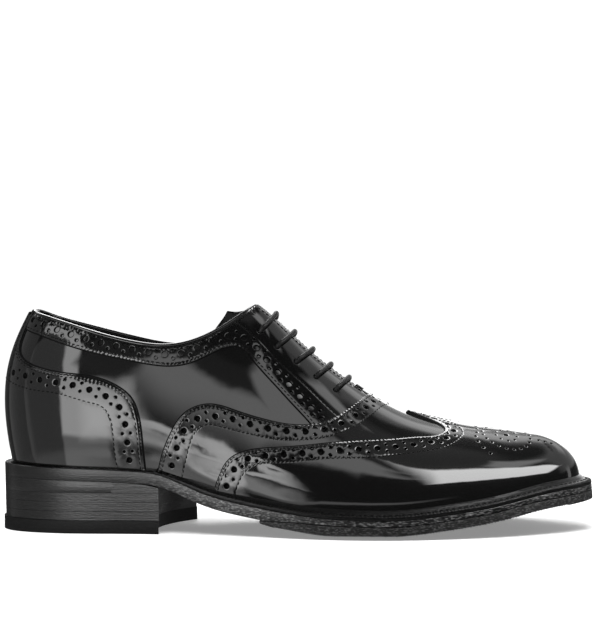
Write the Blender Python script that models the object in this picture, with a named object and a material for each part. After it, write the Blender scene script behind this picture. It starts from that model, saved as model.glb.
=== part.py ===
"""Right shoe: a wing-tip oxford with a raised insole, from its upper down to its sole and heel.

Frame: +X runs from heel to toe, +Y to the inner side of the foot, +Z up, and the floor is z = 0.
Sizes are in millimetres measured from the back of the heel, and become metres when a mesh is made.
A place on the last is (turn, rise). The turn goes round the feather line: 0 at the heel, negative on the
outer side, and plus or minus pi at the toe. The rise climbs the wall from 0 at the feather line to 1 at the
ridge of the last.
"""

import math

import bmesh
import bpy
import numpy as np
from mathutils import Vector
from mathutils.geometry import delaunay_2d_cdt

MM = 0.001
GAP = 0.3  # between curved pieces that meet
ROUNDING = 3  # decimals of a millimetre at which two points are one

# Fineness of the meshes
TURN_COUNT = 72  # columns round the upper
RISE_COUNT = 12  # points up each column
OUTLINE_STEP = 5.0  # between the points of an overlay's outline
EDGE_SAMPLES = 200  # along an overlay's edge, before it is spaced out
EYESTAY_LINES = 36
TONGUE_LINES = (11, 9)  # along and across
LACE_POINTS = 13
SOLE_LINES = 46
TREAD_LINES = 30
HEEL_LINES = 18
INSOLE_LINES = 40
WELT_LINES = 52

# Driving sizes of the whole shoe
FEATHER_BACK = 6.8  # where the upper meets the sole at the heel
FEATHER_FRONT = 293.4  # where it meets the sole at the toe
HEEL_END_RADIUS = 26.0  # plan radius of the last at the heel
TOE_END_RADIUS = 17.0  # plan radius of the last at the toe
WALL = 1.8  # upper leather and lining
OVERLAY_GAP = 0.35  # under an overlay
OVERLAY = 1.0  # leather of an overlay
CAP_BUILD = 2.0  # wing cap, which lies on the vamp
GIRTH = 65.0  # usual height of the wall, measured along it

# Last: half widths on the feather line, and the handles of the wall's curve at its foot and at its top
LAST_COLUMNS = ("x", "outer", "inner", "wall_out", "wall_up", "crown_reach", "crown_lean")
LAST_SECTIONS = (
    (20, 21.5, 21.5, 8.8, 45.0, 26.0, 61.0),
    (40, 27.6, 27.0, 8.2, 39.0, 27.0, 65.0),
    (70, 28.6, 26.5, 7.0, 31.0, 30.0, 67.0),
    (100, 30.4, 23.5, 5.5, 27.0, 32.0, 62.0),
    (130, 36.5, 23.5, 4.5, 27.0, 26.0, 30.0),
    (160, 43.0, 30.0, 4.5, 25.0, 20.0, 4.0),
    (185, 46.8, 38.2, 5.0, 22.0, 21.0, 0.0),
    (205, 47.2, 42.6, 5.0, 20.0, 24.0, 0.0),
    (225, 44.6, 43.8, 4.8, 18.0, 25.0, 0.0),
    (245, 38.4, 41.4, 4.4, 17.0, 23.0, 0.0),
    (262, 30.2, 35.6, 4.0, 16.0, 19.0, 0.0),
    (280, 17.2, 24.2, 3.2, 14.0, 13.0, 0.0),
    (288, 9.6, 16.8, 2.8, 13.0, 11.5, 0.0),
)

# Ridge of the last, from the top of the heel's cone over the instep to the toe
RIDGE_COLUMNS = ("x", "y", "z")
RIDGE = (
    (18, 0.0, 117.0),
    (60, 0.0, 119.0),
    (100, 0.0, 120.5),
    (120, 0.0, 119.2),
    (135, 0.2, 113.0),
    (150, 0.6, 99.2),
    (165, 1.2, 84.9),
    (180, 2.0, 73.4),
    (195, 3.2, 63.6),
    (212, 4.8, 55.4),
    (232, 6.8, 50.6),
    (255, 8.2, 47.2),
    (274, 7.6, 44.2),
)
CONE_SHIFT = 14.0  # how far the cone's back stands in front of the feather line
CONE_FADE = (FEATHER_BACK, 85.0)
TOE_SHIFT = 19.4  # how far the ridge ends behind the toe's feather line
TOE_FADE = (208.0, FEATHER_FRONT)
CONE_HALF_WIDTH = 17.5
CONE_ROUND = 12.0  # length over which the cone's back rounds
CONE_CLOSES = (72.0, 140.0)  # where the cone narrows to the ridge
CROWN_FOLLOWS = (120.0, 150.0)  # from here on the crown leans with the slope of the ridge

# Sole: heights at its middle line, then the lift of its edge
SOLE_COLUMNS = ("x", "top", "under", "tread")
SOLE_PROFILE = (
    (0, 34.2, 28.0, 10.0),
    (40, 33.0, 26.8, 10.0),
    (75, 31.6, 25.6, 10.0),
    (90, 29.5, 23.6, 10.4),
    (100, 25.8, 19.8, 10.8),
    (111, 21.4, 15.4, 11.4),
    (131, 16.6, 10.7, 10.2),
    (153, 13.0, 7.6, 3.8),
    (170, 10.9, 6.2, 0.6),
    (190, 9.8, 5.5, -0.5),
    (213, 9.7, 5.4, 0.0),
    (238, 12.2, 8.0, 2.7),
    (260, 15.4, 11.5, 6.4),
    (285, 20.6, 17.5, 12.5),
    (303, 22.2, 19.8, 14.9),
)
EDGE_LIFT = 1.6  # the forefoot's edge stands this much above its middle
EDGE_LIFT_FROM = (140.0, 165.0)
EDGE_LIFT_TO = (262.0, 298.0)
FLAT_SHARE = 0.45  # middle share of the width with no lift
SOLE_ACROSS = (-1, -0.8, -FLAT_SHARE, FLAT_SHARE, 0.8, 1)  # lines along the sole's grids
HEEL_ACROSS = (-1, -0.5, 0, 0.5, 1)

# Overhang of the sole's edge past the feather line
OVERHANG_COLUMNS = ("x", "reach")
OVERHANG = ((6.8, 5.4), (60, 4.4), (100, 4.6), (140, 6.2), (190, 7.6), (240, 7.6), (270, 8.2), (293.4, 9.1))

# Heel
TOP_LIFT_HEIGHT = 6.7
TOP_LIFT_PROUD = 0.9
LIFT_JOINTS = (11.2, 16.0, 20.6)  # heights of the joints between the lifts
BREAST_OUTER = 89.0
BREAST_INNER = 94.5
BREAST_HOLLOW = 9.0

# Welt: a strip that rises from its outer edge to the upper
WELT_EDGE = 2.0
WELT_INNER_RISE = 5.0
WELT_THIN = 0.7  # at its ends beside the heel
WELT_STARTS = 86.0
WELT_FULL_FROM = 114.0
CAP_FOOT_FADE = (108.0, 118.0)  # where the wing cap makes the upper thicker

# Tread piece under the forefoot
TREAD_BACK = 143.5

# Insole, raised under the heel
INSOLE_THIN = 3.0
INSOLE_LIFT = 22.0
INSOLE_LIFT_FADE = (30.0, 160.0)

# Top line and throat
TOP_LINE_COLUMNS = ("x", "z")
TOP_LINE = (
    (10, 112.6),
    (24, 109.4),
    (45, 103.6),
    (65, 98.2),
    (80, 95.2),
    (93, 94.3),
    (105, 96.4),
    (116, 101.2),
    (128, 109.0),
    (142, 119.5),
)
INNER_TOP_DROP = 2.8  # the top line is this much lower on the inner side
INNER_DROP_TURN = 0.6  # sine of the turn at which the drop is full
INNER_DROP_FADE = (95.0, 120.0)
FACING_GAP = 2.4  # between the two facings
FACING_FROM = 110.0
THROAT_END = 187.0  # where the facings meet the vamp

# Tongue
TONGUE_TOP = 119.0
TONGUE_END = 196.0
TONGUE_SPREAD = 0.36  # of the wall's rise, to each side of the ridge
TONGUE_GAP = 0.6  # under the wall, at the corners of its facets
TONGUE_THICK = 1.8
TONGUE_SAG = 7.5  # of its free top into the opening
TONGUE_SAG_END = 140.0

# Lace: station at which each bar crosses the ridge, then its eyelet's station and rise
LACE_DIAMETER = 2.5
LACE_BARS = (
    (142.2, 137.4, 0.81),
    (151.4, 146.2, 0.79),
    (160.6, 155.6, 0.775),
    (169.8, 165.4, 0.77),
    (179.0, 175.2, 0.77),
)

# Edges of the overlays on the last, the same on both sides: station along the foot, then rise
COUNTER_EDGE = (
    (80.8, 0.0),
    (80.0, 0.16),
    (78.2, 0.322),
    (74.9, 0.405),
    (68.4, 0.458),
    (60.2, 0.488),
    (50.3, 0.496),
    (40.3, 0.49),
    (27.6, 0.494),
    (19.0, 0.518),
    (13.5, 0.572),
    (11.0, 0.64),
    (10.3, 0.72),
    (10.0, 0.82),
)
VAMP_EDGE = (
    (88.2, 0.0),
    (90.6, 0.12),
    (95.5, 0.263),
    (103.3, 0.392),
    (113.3, 0.436),
    (129.8, 0.412),
    (145.0, 0.41),
    (157.9, 0.44),
    (166.4, 0.481),
    (173.2, 0.533),
    (180.2, 0.627),
    (186.5, 0.778),
    (190.0, 1.0),
)
WING_EDGE = (
    (117.6, 0.0),
    (119.4, 0.074),
    (126.6, 0.212),
    (133.2, 0.25),
    (151.0, 0.31),
    (182.1, 0.452),
    (206.8, 0.592),
    (219.5, 0.668),
    (228.6, 0.715),
    (232.4, 0.80),
    (229.5, 0.88),
    (221.0, 0.95),
    (209.0, 1.0),
)
EYESTAY_EDGE = (
    (166.8, 0.487),
    (157.0, 0.538),
    (148.6, 0.577),
    (138.7, 0.626),
    (132.8, 0.667),
    (128.5, 0.69),
    (122.5, 0.69),
    (108.0, 0.643),
    (93.0, 0.61),
    (75.3, 0.62),
    (59.1, 0.638),
    (46.2, 0.657),
    (29.1, 0.695),
    (12.4, 0.758),
)
HEEL_FOOT = 0.008  # rise at which the counter starts, just above the sole
FORE_FOOT = 0.016  # rise at which the vamp and the wing cap start
SEAM = 0.5  # between the edges of two overlays
BELOW_EDGE = 0.8  # of an overlay's edge under the upper's own

# Colour and roughness of each material
LOOKS = {
    "polished_leather": ((0.012, 0.012, 0.012), 0.18),
    "lining_leather": ((0.02, 0.02, 0.02), 0.5),
    "burnished_leather": ((0.02, 0.02, 0.02), 0.35),
    "rubber": ((0.025, 0.025, 0.025), 0.6),
    "waxed_cotton": ((0.012, 0.012, 0.012), 0.5),
}


# Reading the tables

def columns(names, rows):
    """The rows as one array for each named column."""
    return dict(zip(names, np.array(rows, float).T))


def spline(knots, values, at):
    """Natural cubic spline, straight beyond its ends."""
    knots, values, at = (np.asarray(a, float) for a in (knots, values, at))
    step = np.diff(knots)
    rate = np.diff(values) / step
    count = len(knots)
    matrix = np.eye(count)
    right = np.zeros(count)
    for i in range(1, count - 1):
        matrix[i, i - 1 : i + 2] = step[i - 1], 2 * (step[i - 1] + step[i]), step[i]
        right[i] = 6 * (rate[i] - rate[i - 1])
    bend = np.linalg.solve(matrix, right)
    held = np.clip(at, knots[0], knots[-1])
    i = np.clip(np.searchsorted(knots, held, side="right") - 1, 0, count - 2)
    near, far = held - knots[i], knots[i + 1] - held
    value = (bend[i] * far**3 + bend[i + 1] * near**3) / (6 * step[i])
    value += (values[i] / step[i] - bend[i] * step[i] / 6) * far
    value += (values[i + 1] / step[i] - bend[i + 1] * step[i] / 6) * near
    slope_low = rate[0] - step[0] * bend[1] / 6
    slope_high = rate[-1] + step[-1] * bend[-2] / 6
    return value + (at - held) * np.where(at < knots[0], slope_low, slope_high)


def ease(at, start, end):
    """Smooth step from 0 at start to 1 at end."""
    share = np.clip((np.asarray(at, float) - start) / (end - start), 0, 1)
    return share**3 * (10 + share * (6 * share - 15))


LAST = columns(LAST_COLUMNS, LAST_SECTIONS)
RIDGE_LINE = columns(RIDGE_COLUMNS, RIDGE)
SOLE = columns(SOLE_COLUMNS, SOLE_PROFILE)
HANG = columns(OVERHANG_COLUMNS, OVERHANG)
TOP = columns(TOP_LINE_COLUMNS, TOP_LINE)
FEATHER_LENGTH = FEATHER_FRONT - FEATHER_BACK


# Shape of the last

def station(turn):
    return FEATHER_BACK + FEATHER_LENGTH * (1 - np.cos(turn)) / 2


def turn_at(x):
    """Turn, without its sign, of the feather point at length x."""
    share = np.clip((np.asarray(x, float) - FEATHER_BACK) / FEATHER_LENGTH, 0, 1)
    return np.arccos(1 - 2 * share)


def feather_plan(turn):
    """(x, y) of the feather line. Widths are splined as a share of an ellipse's, so both ends are round."""
    x = station(turn)
    half = FEATHER_LENGTH / 2 * np.sin(turn_at(LAST["x"]))
    share = (LAST["outer"] + LAST["inner"]) / 2 / half
    ends = [math.sqrt(2 * r / FEATHER_LENGTH) for r in (HEEL_END_RADIUS, TOE_END_RADIUS)]
    knots = [FEATHER_BACK, *LAST["x"], FEATHER_FRONT]
    width = spline(knots, [ends[0], *share, ends[1]], x) * FEATHER_LENGTH / 2
    middle = spline(LAST["x"], (LAST["inner"] - LAST["outer"]) / 2, x)
    middle *= ease(x, FEATHER_BACK, LAST["x"][1])
    return x, middle + width * np.sin(turn)


def ridge_point(x):
    """(x, y, z) of the ridge of the last, and its slope."""
    y = spline(RIDGE_LINE["x"], RIDGE_LINE["y"], x)
    z, ahead = (spline(RIDGE_LINE["x"], RIDGE_LINE["z"], x + d) for d in (0, 1))
    return x, y, z, ahead - z


def last_point(turn, rise):
    """Points of the last's surface. A rise over 1 goes on down the other side of the ridge."""
    turn, rise = np.broadcast_arrays(np.asarray(turn, float), np.asarray(rise, float))
    over = rise > 1
    turn, rise = np.where(over, -turn, turn), np.where(over, 2 - rise, rise)
    x, y = feather_plan(turn)
    foot = np.stack([x, y, sole_height("top", x, 0) + GAP], -1)

    shift = CONE_SHIFT * (1 - ease(x, *CONE_FADE)) - TOE_SHIFT * ease(x, *TOE_FADE)
    top_x, top_y, top_z, slope = ridge_point(x + shift)
    back = np.maximum(x - FEATHER_BACK, 0)
    cone = CONE_HALF_WIDTH * np.sqrt(back / (back + CONE_ROUND)) * (1 - ease(x, *CONE_CLOSES))
    top = np.stack([top_x, top_y + cone * np.sign(np.sin(turn)), top_z], -1)

    inward = (top - foot) * (1, 1, 0)
    inward /= np.maximum(np.linalg.norm(inward, axis=-1, keepdims=True), 1e-9)
    up = np.array([0, 0, 1.0])
    out, lift, reach, lean = (
        spline(LAST["x"], LAST[name], np.clip(x, LAST["x"][0], LAST["x"][-1]))[..., None]
        for name in ("wall_out", "wall_up", "crown_reach", "crown_lean")
    )
    follow = ease(x, *CROWN_FOLLOWS)[..., None]
    lean = np.radians(np.maximum(lean, 0)) + follow * np.arctan(slope[..., None] * inward[..., :1])
    low = foot - inward * out + up * lift
    high = top - reach * (inward * np.cos(lean) + up * np.sin(lean))
    t = rise[..., None]
    return (1 - t) ** 3 * foot + 3 * t * (1 - t) ** 2 * low + 3 * t * t * (1 - t) * high + t**3 * top


def last_normal(turn, rise):
    """Outward normals of the last."""
    turn, rise = np.broadcast_arrays(np.asarray(turn, float), np.asarray(rise, float))
    pole = (np.abs(rise - 1) < 0.01) & (np.cos(turn) < -0.999)
    rise = np.where(pole, 0.98, rise)
    d = 1e-3
    along = last_point(turn + d, rise) - last_point(turn - d, rise)
    up = last_point(turn, rise + d) - last_point(turn, rise - d)
    normal = np.cross(up, along)
    return normal / np.linalg.norm(normal, axis=-1, keepdims=True)


def upper_point(turn, rise, out):
    """Points standing out from the upper's outer face, or inside it where out is negative."""
    return last_point(turn, rise) + out * last_normal(turn, rise)


def rise_where(test, turn):
    """Lowest rise on each turn at which test(points) stops being negative."""
    low, high = np.full_like(turn, 0.3), np.ones_like(turn)
    for _ in range(40):
        middle = (low + high) / 2
        below = test(last_point(turn, middle)) < 0
        low, high = np.where(below, middle, low), np.where(below, high, middle)
    return (low + high) / 2


def top_rise(turn):
    """Rise of the upper's top edge: the top line, then the facing's edge, then the closed ridge."""
    turn = np.asarray(turn, float)
    drop = ease(np.sin(turn), 0, INNER_DROP_TURN) * (1 - ease(station(turn), *INNER_DROP_FADE))
    drop *= INNER_TOP_DROP
    collar = rise_where(lambda p: p[..., 2] + drop - spline(TOP["x"], TOP["z"], p[..., 0]), turn)
    ridge_y = ridge_point(station(turn))[1]
    facing = rise_where(lambda p: FACING_GAP / 2 - np.abs(p[..., 1] - ridge_y), turn)
    edge = np.where(station(turn) > FACING_FROM, np.minimum(collar, facing), collar)
    return np.where(station(turn) >= THROAT_END, 1.0, edge)


# Shape of the sole

def sole_height(level, x, across):
    """Height of a level of the sole at length x and share of the half width. The top is level across."""
    x, across = np.broadcast_arrays(np.asarray(x, float), np.asarray(across, float))
    middle = spline(SOLE["x"], SOLE[level], x)
    if level == "top":
        return middle
    if level == "tread":
        middle = np.maximum(middle, 0)
    lift = np.clip((np.abs(across) - FLAT_SHARE) / (1 - FLAT_SHARE), 0, None) ** 2
    return middle + EDGE_LIFT * ease(x, *EDGE_LIFT_FROM) * (1 - ease(x, *EDGE_LIFT_TO)) * lift


def edge_plan(turn, reach):
    """(x, y) at a distance outside the feather line. The distance may change along the line."""
    d = 1e-4
    x, y = feather_plan(turn)
    (x0, y0), (x1, y1) = feather_plan(turn - d), feather_plan(turn + d)
    along = np.stack([x1 - x0, y1 - y0], -1)
    along /= np.linalg.norm(along, axis=-1, keepdims=True)
    return x - reach * along[..., 1], y + reach * along[..., 0]


def sole_edge(turn, proud=0.0):
    """Plan of the sole's own edge."""
    return edge_plan(turn, spline(HANG["x"], HANG["reach"], station(turn)) + proud)


def lens(turns, plan, across):
    """Grid of plan points from the outer to the inner edge at each turn, with the share of the half width."""
    across = np.array(across)
    (x0, y0), (x1, y1) = plan(-turns), plan(turns)
    share = (across + 1) / 2
    x = x0[:, None] * (1 - share) + x1[:, None] * share
    y = y0[:, None] * (1 - share) + y1[:, None] * share
    return x, y, np.broadcast_to(across, x.shape)


# Making meshes

def closed_shell(name, outer, inner, faces, look):
    """Solid between two sheets with the same faces: walls join them along every open edge."""
    _, first, same = np.unique(np.round(outer, ROUNDING), axis=0, return_index=True, return_inverse=True)
    same = same.reshape(-1)
    kept = [f for f in (list(dict.fromkeys(same[list(face)])) for face in faces) if len(f) > 2]
    count = len(first)
    edges = {(f[i - 1], f[i]) for f in kept for i in range(len(f))}
    walls = [(b, a, a + count, b + count) for a, b in edges if (b, a) not in edges]
    solid = kept + [[i + count for i in reversed(f)] for f in kept] + sorted(walls)
    return mesh_object(name, np.concatenate([outer[first], inner[first]]), solid, look)


def place(name, data, look):
    """Object in the shoe's own frame, with a material of its own."""
    obj = bpy.data.objects.new(name, data)
    bpy.context.scene.collection.objects.link(obj)
    obj.parent = bpy.data.objects["shoe"]
    colour, roughness = LOOKS[look]
    material = bpy.data.materials.new(f"{name}_{look}")
    material.use_nodes = True
    shader = material.node_tree.nodes["Principled BSDF"]
    shader.inputs["Base Color"].default_value = (*colour, 1)
    shader.inputs["Roughness"].default_value = roughness
    shader.inputs["Metallic"].default_value = 0.0
    data.materials.append(material)
    return obj


def mesh_object(name, points, faces, look):
    mesh = bpy.data.meshes.new(name)
    mesh.from_pydata([tuple(p) for p in np.asarray(points) * MM], [], [tuple(map(int, f)) for f in faces])
    made = bmesh.new()
    made.from_mesh(mesh)
    bmesh.ops.triangulate(made, faces=made.faces, quad_method="SHORT_EDGE")
    bmesh.ops.recalc_face_normals(made, faces=made.faces)
    made.to_mesh(mesh)
    made.free()
    mesh.shade_smooth()
    mesh.set_sharp_from_angle(angle=math.radians(40))
    return place(name, mesh, look)


def grid_faces(rows, cols, round_rows=False):
    """Quads of a grid of points stored row by row."""
    last = rows if round_rows else rows - 1
    return [
        (i * cols + j, (i + 1) % rows * cols + j, (i + 1) % rows * cols + j + 1, i * cols + j + 1)
        for i in range(last)
        for j in range(cols - 1)
    ]


def plate(name, plan, top, bottom, look):
    """Solid between two heights over a grid of plan points."""
    x, y, across = plan
    sheets = [np.stack([x, y, height(x, across)], -1).reshape(-1, 3) for height in (top, bottom)]
    return closed_shell(name, *sheets, grid_faces(*x.shape), look)


# Upper and its overlays

def upper_grid():
    """Turns and rises of the upper's grid, which its overlays share."""
    turns = np.linspace(-math.pi, math.pi, TURN_COUNT, endpoint=False)
    return turns, np.linspace(0, 1, RISE_COUNT)[None, :] * top_rise(turns)[:, None]


def make_upper():
    """One hollow wall, open underneath, at the top line and along the throat."""
    turns, rises = upper_grid()
    sheets = [upper_point(turns[:, None], rises, out).reshape(-1, 3) for out in (0, -WALL)]
    faces = grid_faces(TURN_COUNT, RISE_COUNT, round_rows=True)
    closed_shell("upper", *sheets, faces, "polished_leather")


def flat(turn_rise):
    """Places on the last as lengths on a flat pattern, near enough to true for spacing and triangles."""
    return np.asarray(turn_rise) * (FEATHER_LENGTH / math.pi, GIRTH)


def spaced(points):
    """The line through the points, with points of its own about one outline step apart."""
    reach = np.concatenate([[0], np.cumsum(np.linalg.norm(np.diff(flat(points), axis=0), axis=1))])
    count = max(2, round(reach[-1] / OUTLINE_STEP) + 1)
    at = np.linspace(0, reach[-1], count)
    return np.stack([np.interp(at, reach, points[:, i]) for i in (0, 1)], -1)


def edge_line(rows, foot=FORE_FOOT):
    """An overlay's edge as a smooth line of turns on the outer side and rises."""
    rows = np.array(rows, float)
    points = np.stack([-turn_at(rows[:, 0]), np.maximum(rows[:, 1], foot)], -1)
    reach = np.concatenate([[0], np.cumsum(np.linalg.norm(np.diff(flat(points), axis=0), axis=1))])
    at = np.linspace(0, reach[-1], EDGE_SAMPLES)
    return spaced(np.stack([spline(reach, points[:, i], at) for i in (0, 1)], -1))


def moved(line, distance):
    """The line moved to its right on the flat pattern: up and back from one that runs to the toe."""
    plan = flat(line)
    along = np.gradient(plan, axis=0)
    along /= np.linalg.norm(along, axis=1, keepdims=True)
    side = np.stack([along[:, 1], -along[:, 0]], -1) * distance
    return line + side / flat((1, 1))


def far_side(line):
    """The line carried on over the ridge to the inner side, running the other way."""
    return np.stack([line[::-1, 0], 2 - line[::-1, 1]], -1)


def inside(points, outline):
    """Which points lie inside a closed outline."""
    a, b = outline, np.roll(outline, -1, axis=0)
    x, y = points[:, :1], points[:, 1:]
    crosses = (a[:, 1] > y) != (b[:, 1] > y)
    with np.errstate(divide="ignore", invalid="ignore"):
        at = a[:, 0] + (y - a[:, 1]) * (b[:, 0] - a[:, 0]) / (b[:, 1] - a[:, 1])
    return (crosses & (x < at)).sum(1) % 2 == 1


def panel(name, outline, thick):
    """Overlay over an outline of turns and rises, a gap above the upper."""
    turns, rises = upper_grid()
    grid = np.stack(np.broadcast_arrays(turns[1:, None], rises[1:]), -1).reshape(-1, 2)
    over = np.stack([-grid[:, 0], 2 - grid[:, 1]], -1)
    spare = np.concatenate([grid, over[grid[:, 1] < 1]])
    edge = flat(outline)
    spare = spare[inside(flat(spare), edge)]
    away = np.linalg.norm(flat(spare)[:, None] - edge[None], axis=2).min(axis=1)
    places = np.concatenate([outline, spare[away > OUTLINE_STEP / 2]])
    count = len(outline)
    loop = [(i, (i + 1) % count) for i in range(count)]
    made = delaunay_2d_cdt([Vector(p) for p in flat(places)], loop, [], 1, 1e-6)
    found = np.array([tuple(p) for p in made[0]]) / flat((1, 1))
    sheets = [upper_point(found[:, 0], found[:, 1], out) for out in (OVERLAY_GAP + thick, OVERLAY_GAP)]
    closed_shell(name, *sheets, [tuple(f) for f in made[2]], "polished_leather")


def make_counter():
    line = edge_line(COUNTER_EDGE, HEEL_FOOT)
    end = line[-1, 0]
    top = np.stack([np.linspace(end, 0, 3), np.full(3, top_rise(np.array([end]))[0] - 0.01)], -1)
    half = np.concatenate([line, top])
    foot = spaced(half[[0, 0]] * ((-1, 1), (1, 1)))[1:-1]
    panel("heel_counter", np.concatenate([half, half[-2::-1] * (-1, 1), foot]), OVERLAY)


def make_vamp():
    line, front = edge_line(VAMP_EDGE), moved(edge_line(WING_EDGE), SEAM)
    front[-1] = -turn_at(WING_EDGE[-1][0] - 4 * SEAM), 1.0
    foot = spaced(np.array([front[0], line[0]]))
    back = [foot[1:-1], line[:-1], far_side(line), far_side(foot)[1:-1]]
    panel("vamp", np.concatenate(back + [far_side(front)[::-1], front[-2::-1]]), OVERLAY)


def make_wing_cap():
    line = edge_line(WING_EDGE)
    foot = spaced(np.array([[-math.pi, FORE_FOOT], line[0]]))
    seam = np.linspace(2 - FORE_FOOT, FORE_FOOT, 2 * RISE_COUNT - 1)
    nose = np.stack([np.full_like(seam, -math.pi), seam], -1)
    outline = [line[:-1], far_side(line), far_side(foot)[1:], nose[1:], foot[1:-1]]
    panel("wing_cap", np.concatenate(outline), CAP_BUILD)


def make_eyestays():
    """Facing and collar band of each side, from the counter's tail to the vamp."""
    low = edge_line(EYESTAY_EDGE)
    vamp = moved(edge_line(VAMP_EDGE), SEAM)
    vamp = vamp[(vamp[:, 0] < low[0, 0]) & (vamp[:, 1] > low[0, 1])]
    turns = np.linspace(low[-1, 0], -turn_at(THROAT_END - 1), EYESTAY_LINES)
    top = np.stack([turns, top_rise(turns) - BELOW_EDGE / GIRTH], -1)
    side = np.concatenate([low, top, vamp[vamp[:, 1] < top[-1, 1]][::-1]])
    panel("eyestay_outer", side, OVERLAY)
    panel("eyestay_inner", side[::-1] * (-1, 1), OVERLAY)


def make_tongue():
    """Tongue under the facings. Its top sags into the opening."""
    along, wide = TONGUE_LINES
    x = np.linspace(TONGUE_TOP, TONGUE_END, along)[:, None]
    across = np.linspace(-1, 1, wide)[None, :]
    sag = TONGUE_SAG * (1 - ease(x, TONGUE_TOP, TONGUE_SAG_END))[..., None]
    depth = WALL + TONGUE_GAP + sag
    turns, rises = np.broadcast_arrays(-turn_at(x), 1 + TONGUE_SPREAD * across)
    sheets = [upper_point(turns, rises, -depth - thick).reshape(-1, 3) for thick in (0, TONGUE_THICK)]
    closed_shell("tongue", *sheets, grid_faces(*rises.shape), "polished_leather")


def make_lace():
    """Bars across the throat, from eyelet to eyelet."""
    out = OVERLAY_GAP + OVERLAY + GAP + LACE_DIAMETER / 2
    for i, (ridge, eyelet, rise) in enumerate(LACE_BARS):
        across = np.linspace(-1, 1, LACE_POINTS)
        x = ridge + (eyelet - ridge) * across**2
        path = upper_point(-turn_at(x), 1 + (1 - rise) * across, out) * MM
        curve = bpy.data.curves.new(f"lace_bar_{i + 1}", "CURVE")
        curve.dimensions = "3D"
        curve.bevel_depth = LACE_DIAMETER / 2 * MM
        curve.bevel_resolution = 2
        curve.use_fill_caps = True
        run = curve.splines.new("POLY")
        run.points.add(len(path) - 1)
        for point, spot in zip(run.points, path):
            point.co = (*spot, 1)
        place(curve.name, curve, "waxed_cotton")


# Sole and heel

def level_of(name, below=0.0):
    """Height function of a level of the sole, or of a distance below it."""
    return lambda x, across: sole_height(name, x, across) - below


def flat_at(height):
    return lambda x, across: np.full_like(x, height)


def make_outsole():
    plan = lens(np.linspace(0, math.pi, SOLE_LINES), sole_edge, SOLE_ACROSS)
    plate("outsole", plan, level_of("top"), level_of("under"), "burnished_leather")


def make_tread():
    """Rubber under the forefoot, never thinner than two gaps."""
    plan = lens(np.linspace(turn_at(TREAD_BACK), math.pi, TREAD_LINES), sole_edge, SOLE_ACROSS)

    def ground(x, across):
        return np.minimum(sole_height("tread", x, across), sole_height("under", x, across) - 3 * GAP)

    plate("tread", plan, level_of("under", GAP), ground, "rubber")


def heel_plan(proud):
    """Grid of the heel from its back to the hollow breast."""
    turns = np.linspace(0, 1, HEEL_LINES) * turn_at((BREAST_OUTER + BREAST_INNER) / 2)
    x, y, across = lens(turns, lambda t: sole_edge(t, proud), HEEL_ACROSS)
    share = ease(turns, turns[3], turns[-1])[:, None]
    skew = (BREAST_INNER - BREAST_OUTER) / 2 * across - BREAST_HOLLOW * (1 - across**2)
    return x + share * skew, y, across


def make_heel():
    """Rubber top lift on the floor, and leather lifts stacked on it up to the sole."""
    levels = [TOP_LIFT_HEIGHT, *LIFT_JOINTS]
    tops = [flat_at(level - GAP) for level in levels] + [level_of("under", GAP)]
    plate("top_lift", heel_plan(TOP_LIFT_PROUD), tops[0], flat_at(0.0), "rubber")
    for i, low in enumerate(levels):
        plate(f"heel_lift_{i + 1}", heel_plan(0.0), tops[i + 1], flat_at(low), "burnished_leather")


def make_welt():
    """Strip round the forefoot and waist, on the outsole, rising from its edge to the upper."""
    turns = np.linspace(turn_at(WELT_STARTS), 2 * math.pi - turn_at(WELT_STARTS), WELT_LINES)
    x = station(turns)
    grown = ease(x, WELT_STARTS, WELT_FULL_FROM)
    built = OVERLAY_GAP + OVERLAY + (CAP_BUILD - OVERLAY) * ease(x, *CAP_FOOT_FADE)
    bulge = spline(LAST["x"], LAST["wall_out"] / LAST["wall_up"], np.clip(x, LAST["x"][0], LAST["x"][-1]))
    inner_rise = WELT_THIN + (WELT_INNER_RISE - WELT_THIN) * grown
    edge_rise = WELT_THIN + (WELT_EDGE - WELT_THIN) * grown
    clear = built + OVERLAY_GAP
    corners = (
        (edge_plan(turns, clear), 0),
        (sole_edge(turns), 0),
        (sole_edge(turns), edge_rise),
        (edge_plan(turns, clear + bulge * inner_rise), inner_rise),
    )
    corners = [(x, y, sole_height("top", x, 0) + GAP + rise) for (x, y), rise in corners]
    rings = np.stack([np.stack(c, -1) for c in corners], 1)
    count, sides = rings.shape[:2]
    faces = [
        (i * sides + j, i * sides + (j + 1) % sides, (i + 1) * sides + (j + 1) % sides, (i + 1) * sides + j)
        for i in range(count - 1)
        for j in range(sides)
    ]
    ends = [tuple(range(sides)), tuple(range((count - 1) * sides, count * sides))]
    mesh_object("welt", rings.reshape(-1, 3), faces + ends, "burnished_leather")


def make_insole():
    """Insole that is raised under the heel, which makes the wearer taller."""
    plan = lens(np.linspace(0, math.pi, INSOLE_LINES), lambda t: edge_plan(t, -WALL - 2 * GAP), SOLE_ACROSS)

    def top(x, across):
        lift = INSOLE_LIFT * (1 - ease(x, *INSOLE_LIFT_FADE))
        return sole_height("top", x, across) + GAP + INSOLE_THIN + lift

    plate("insole", plan, top, level_of("top", -GAP), "lining_leather")


def footprint_middle():
    """Middle of the box round the sole and the heel's top lift, on the floor."""
    x, y = sole_edge(np.linspace(-math.pi, math.pi, EDGE_SAMPLES))
    back, _ = sole_edge(np.zeros(1), TOP_LIFT_PROUD)
    return Vector(((back[0] + x.max()) / 2, (y.min() + y.max()) / 2, 0))


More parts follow.
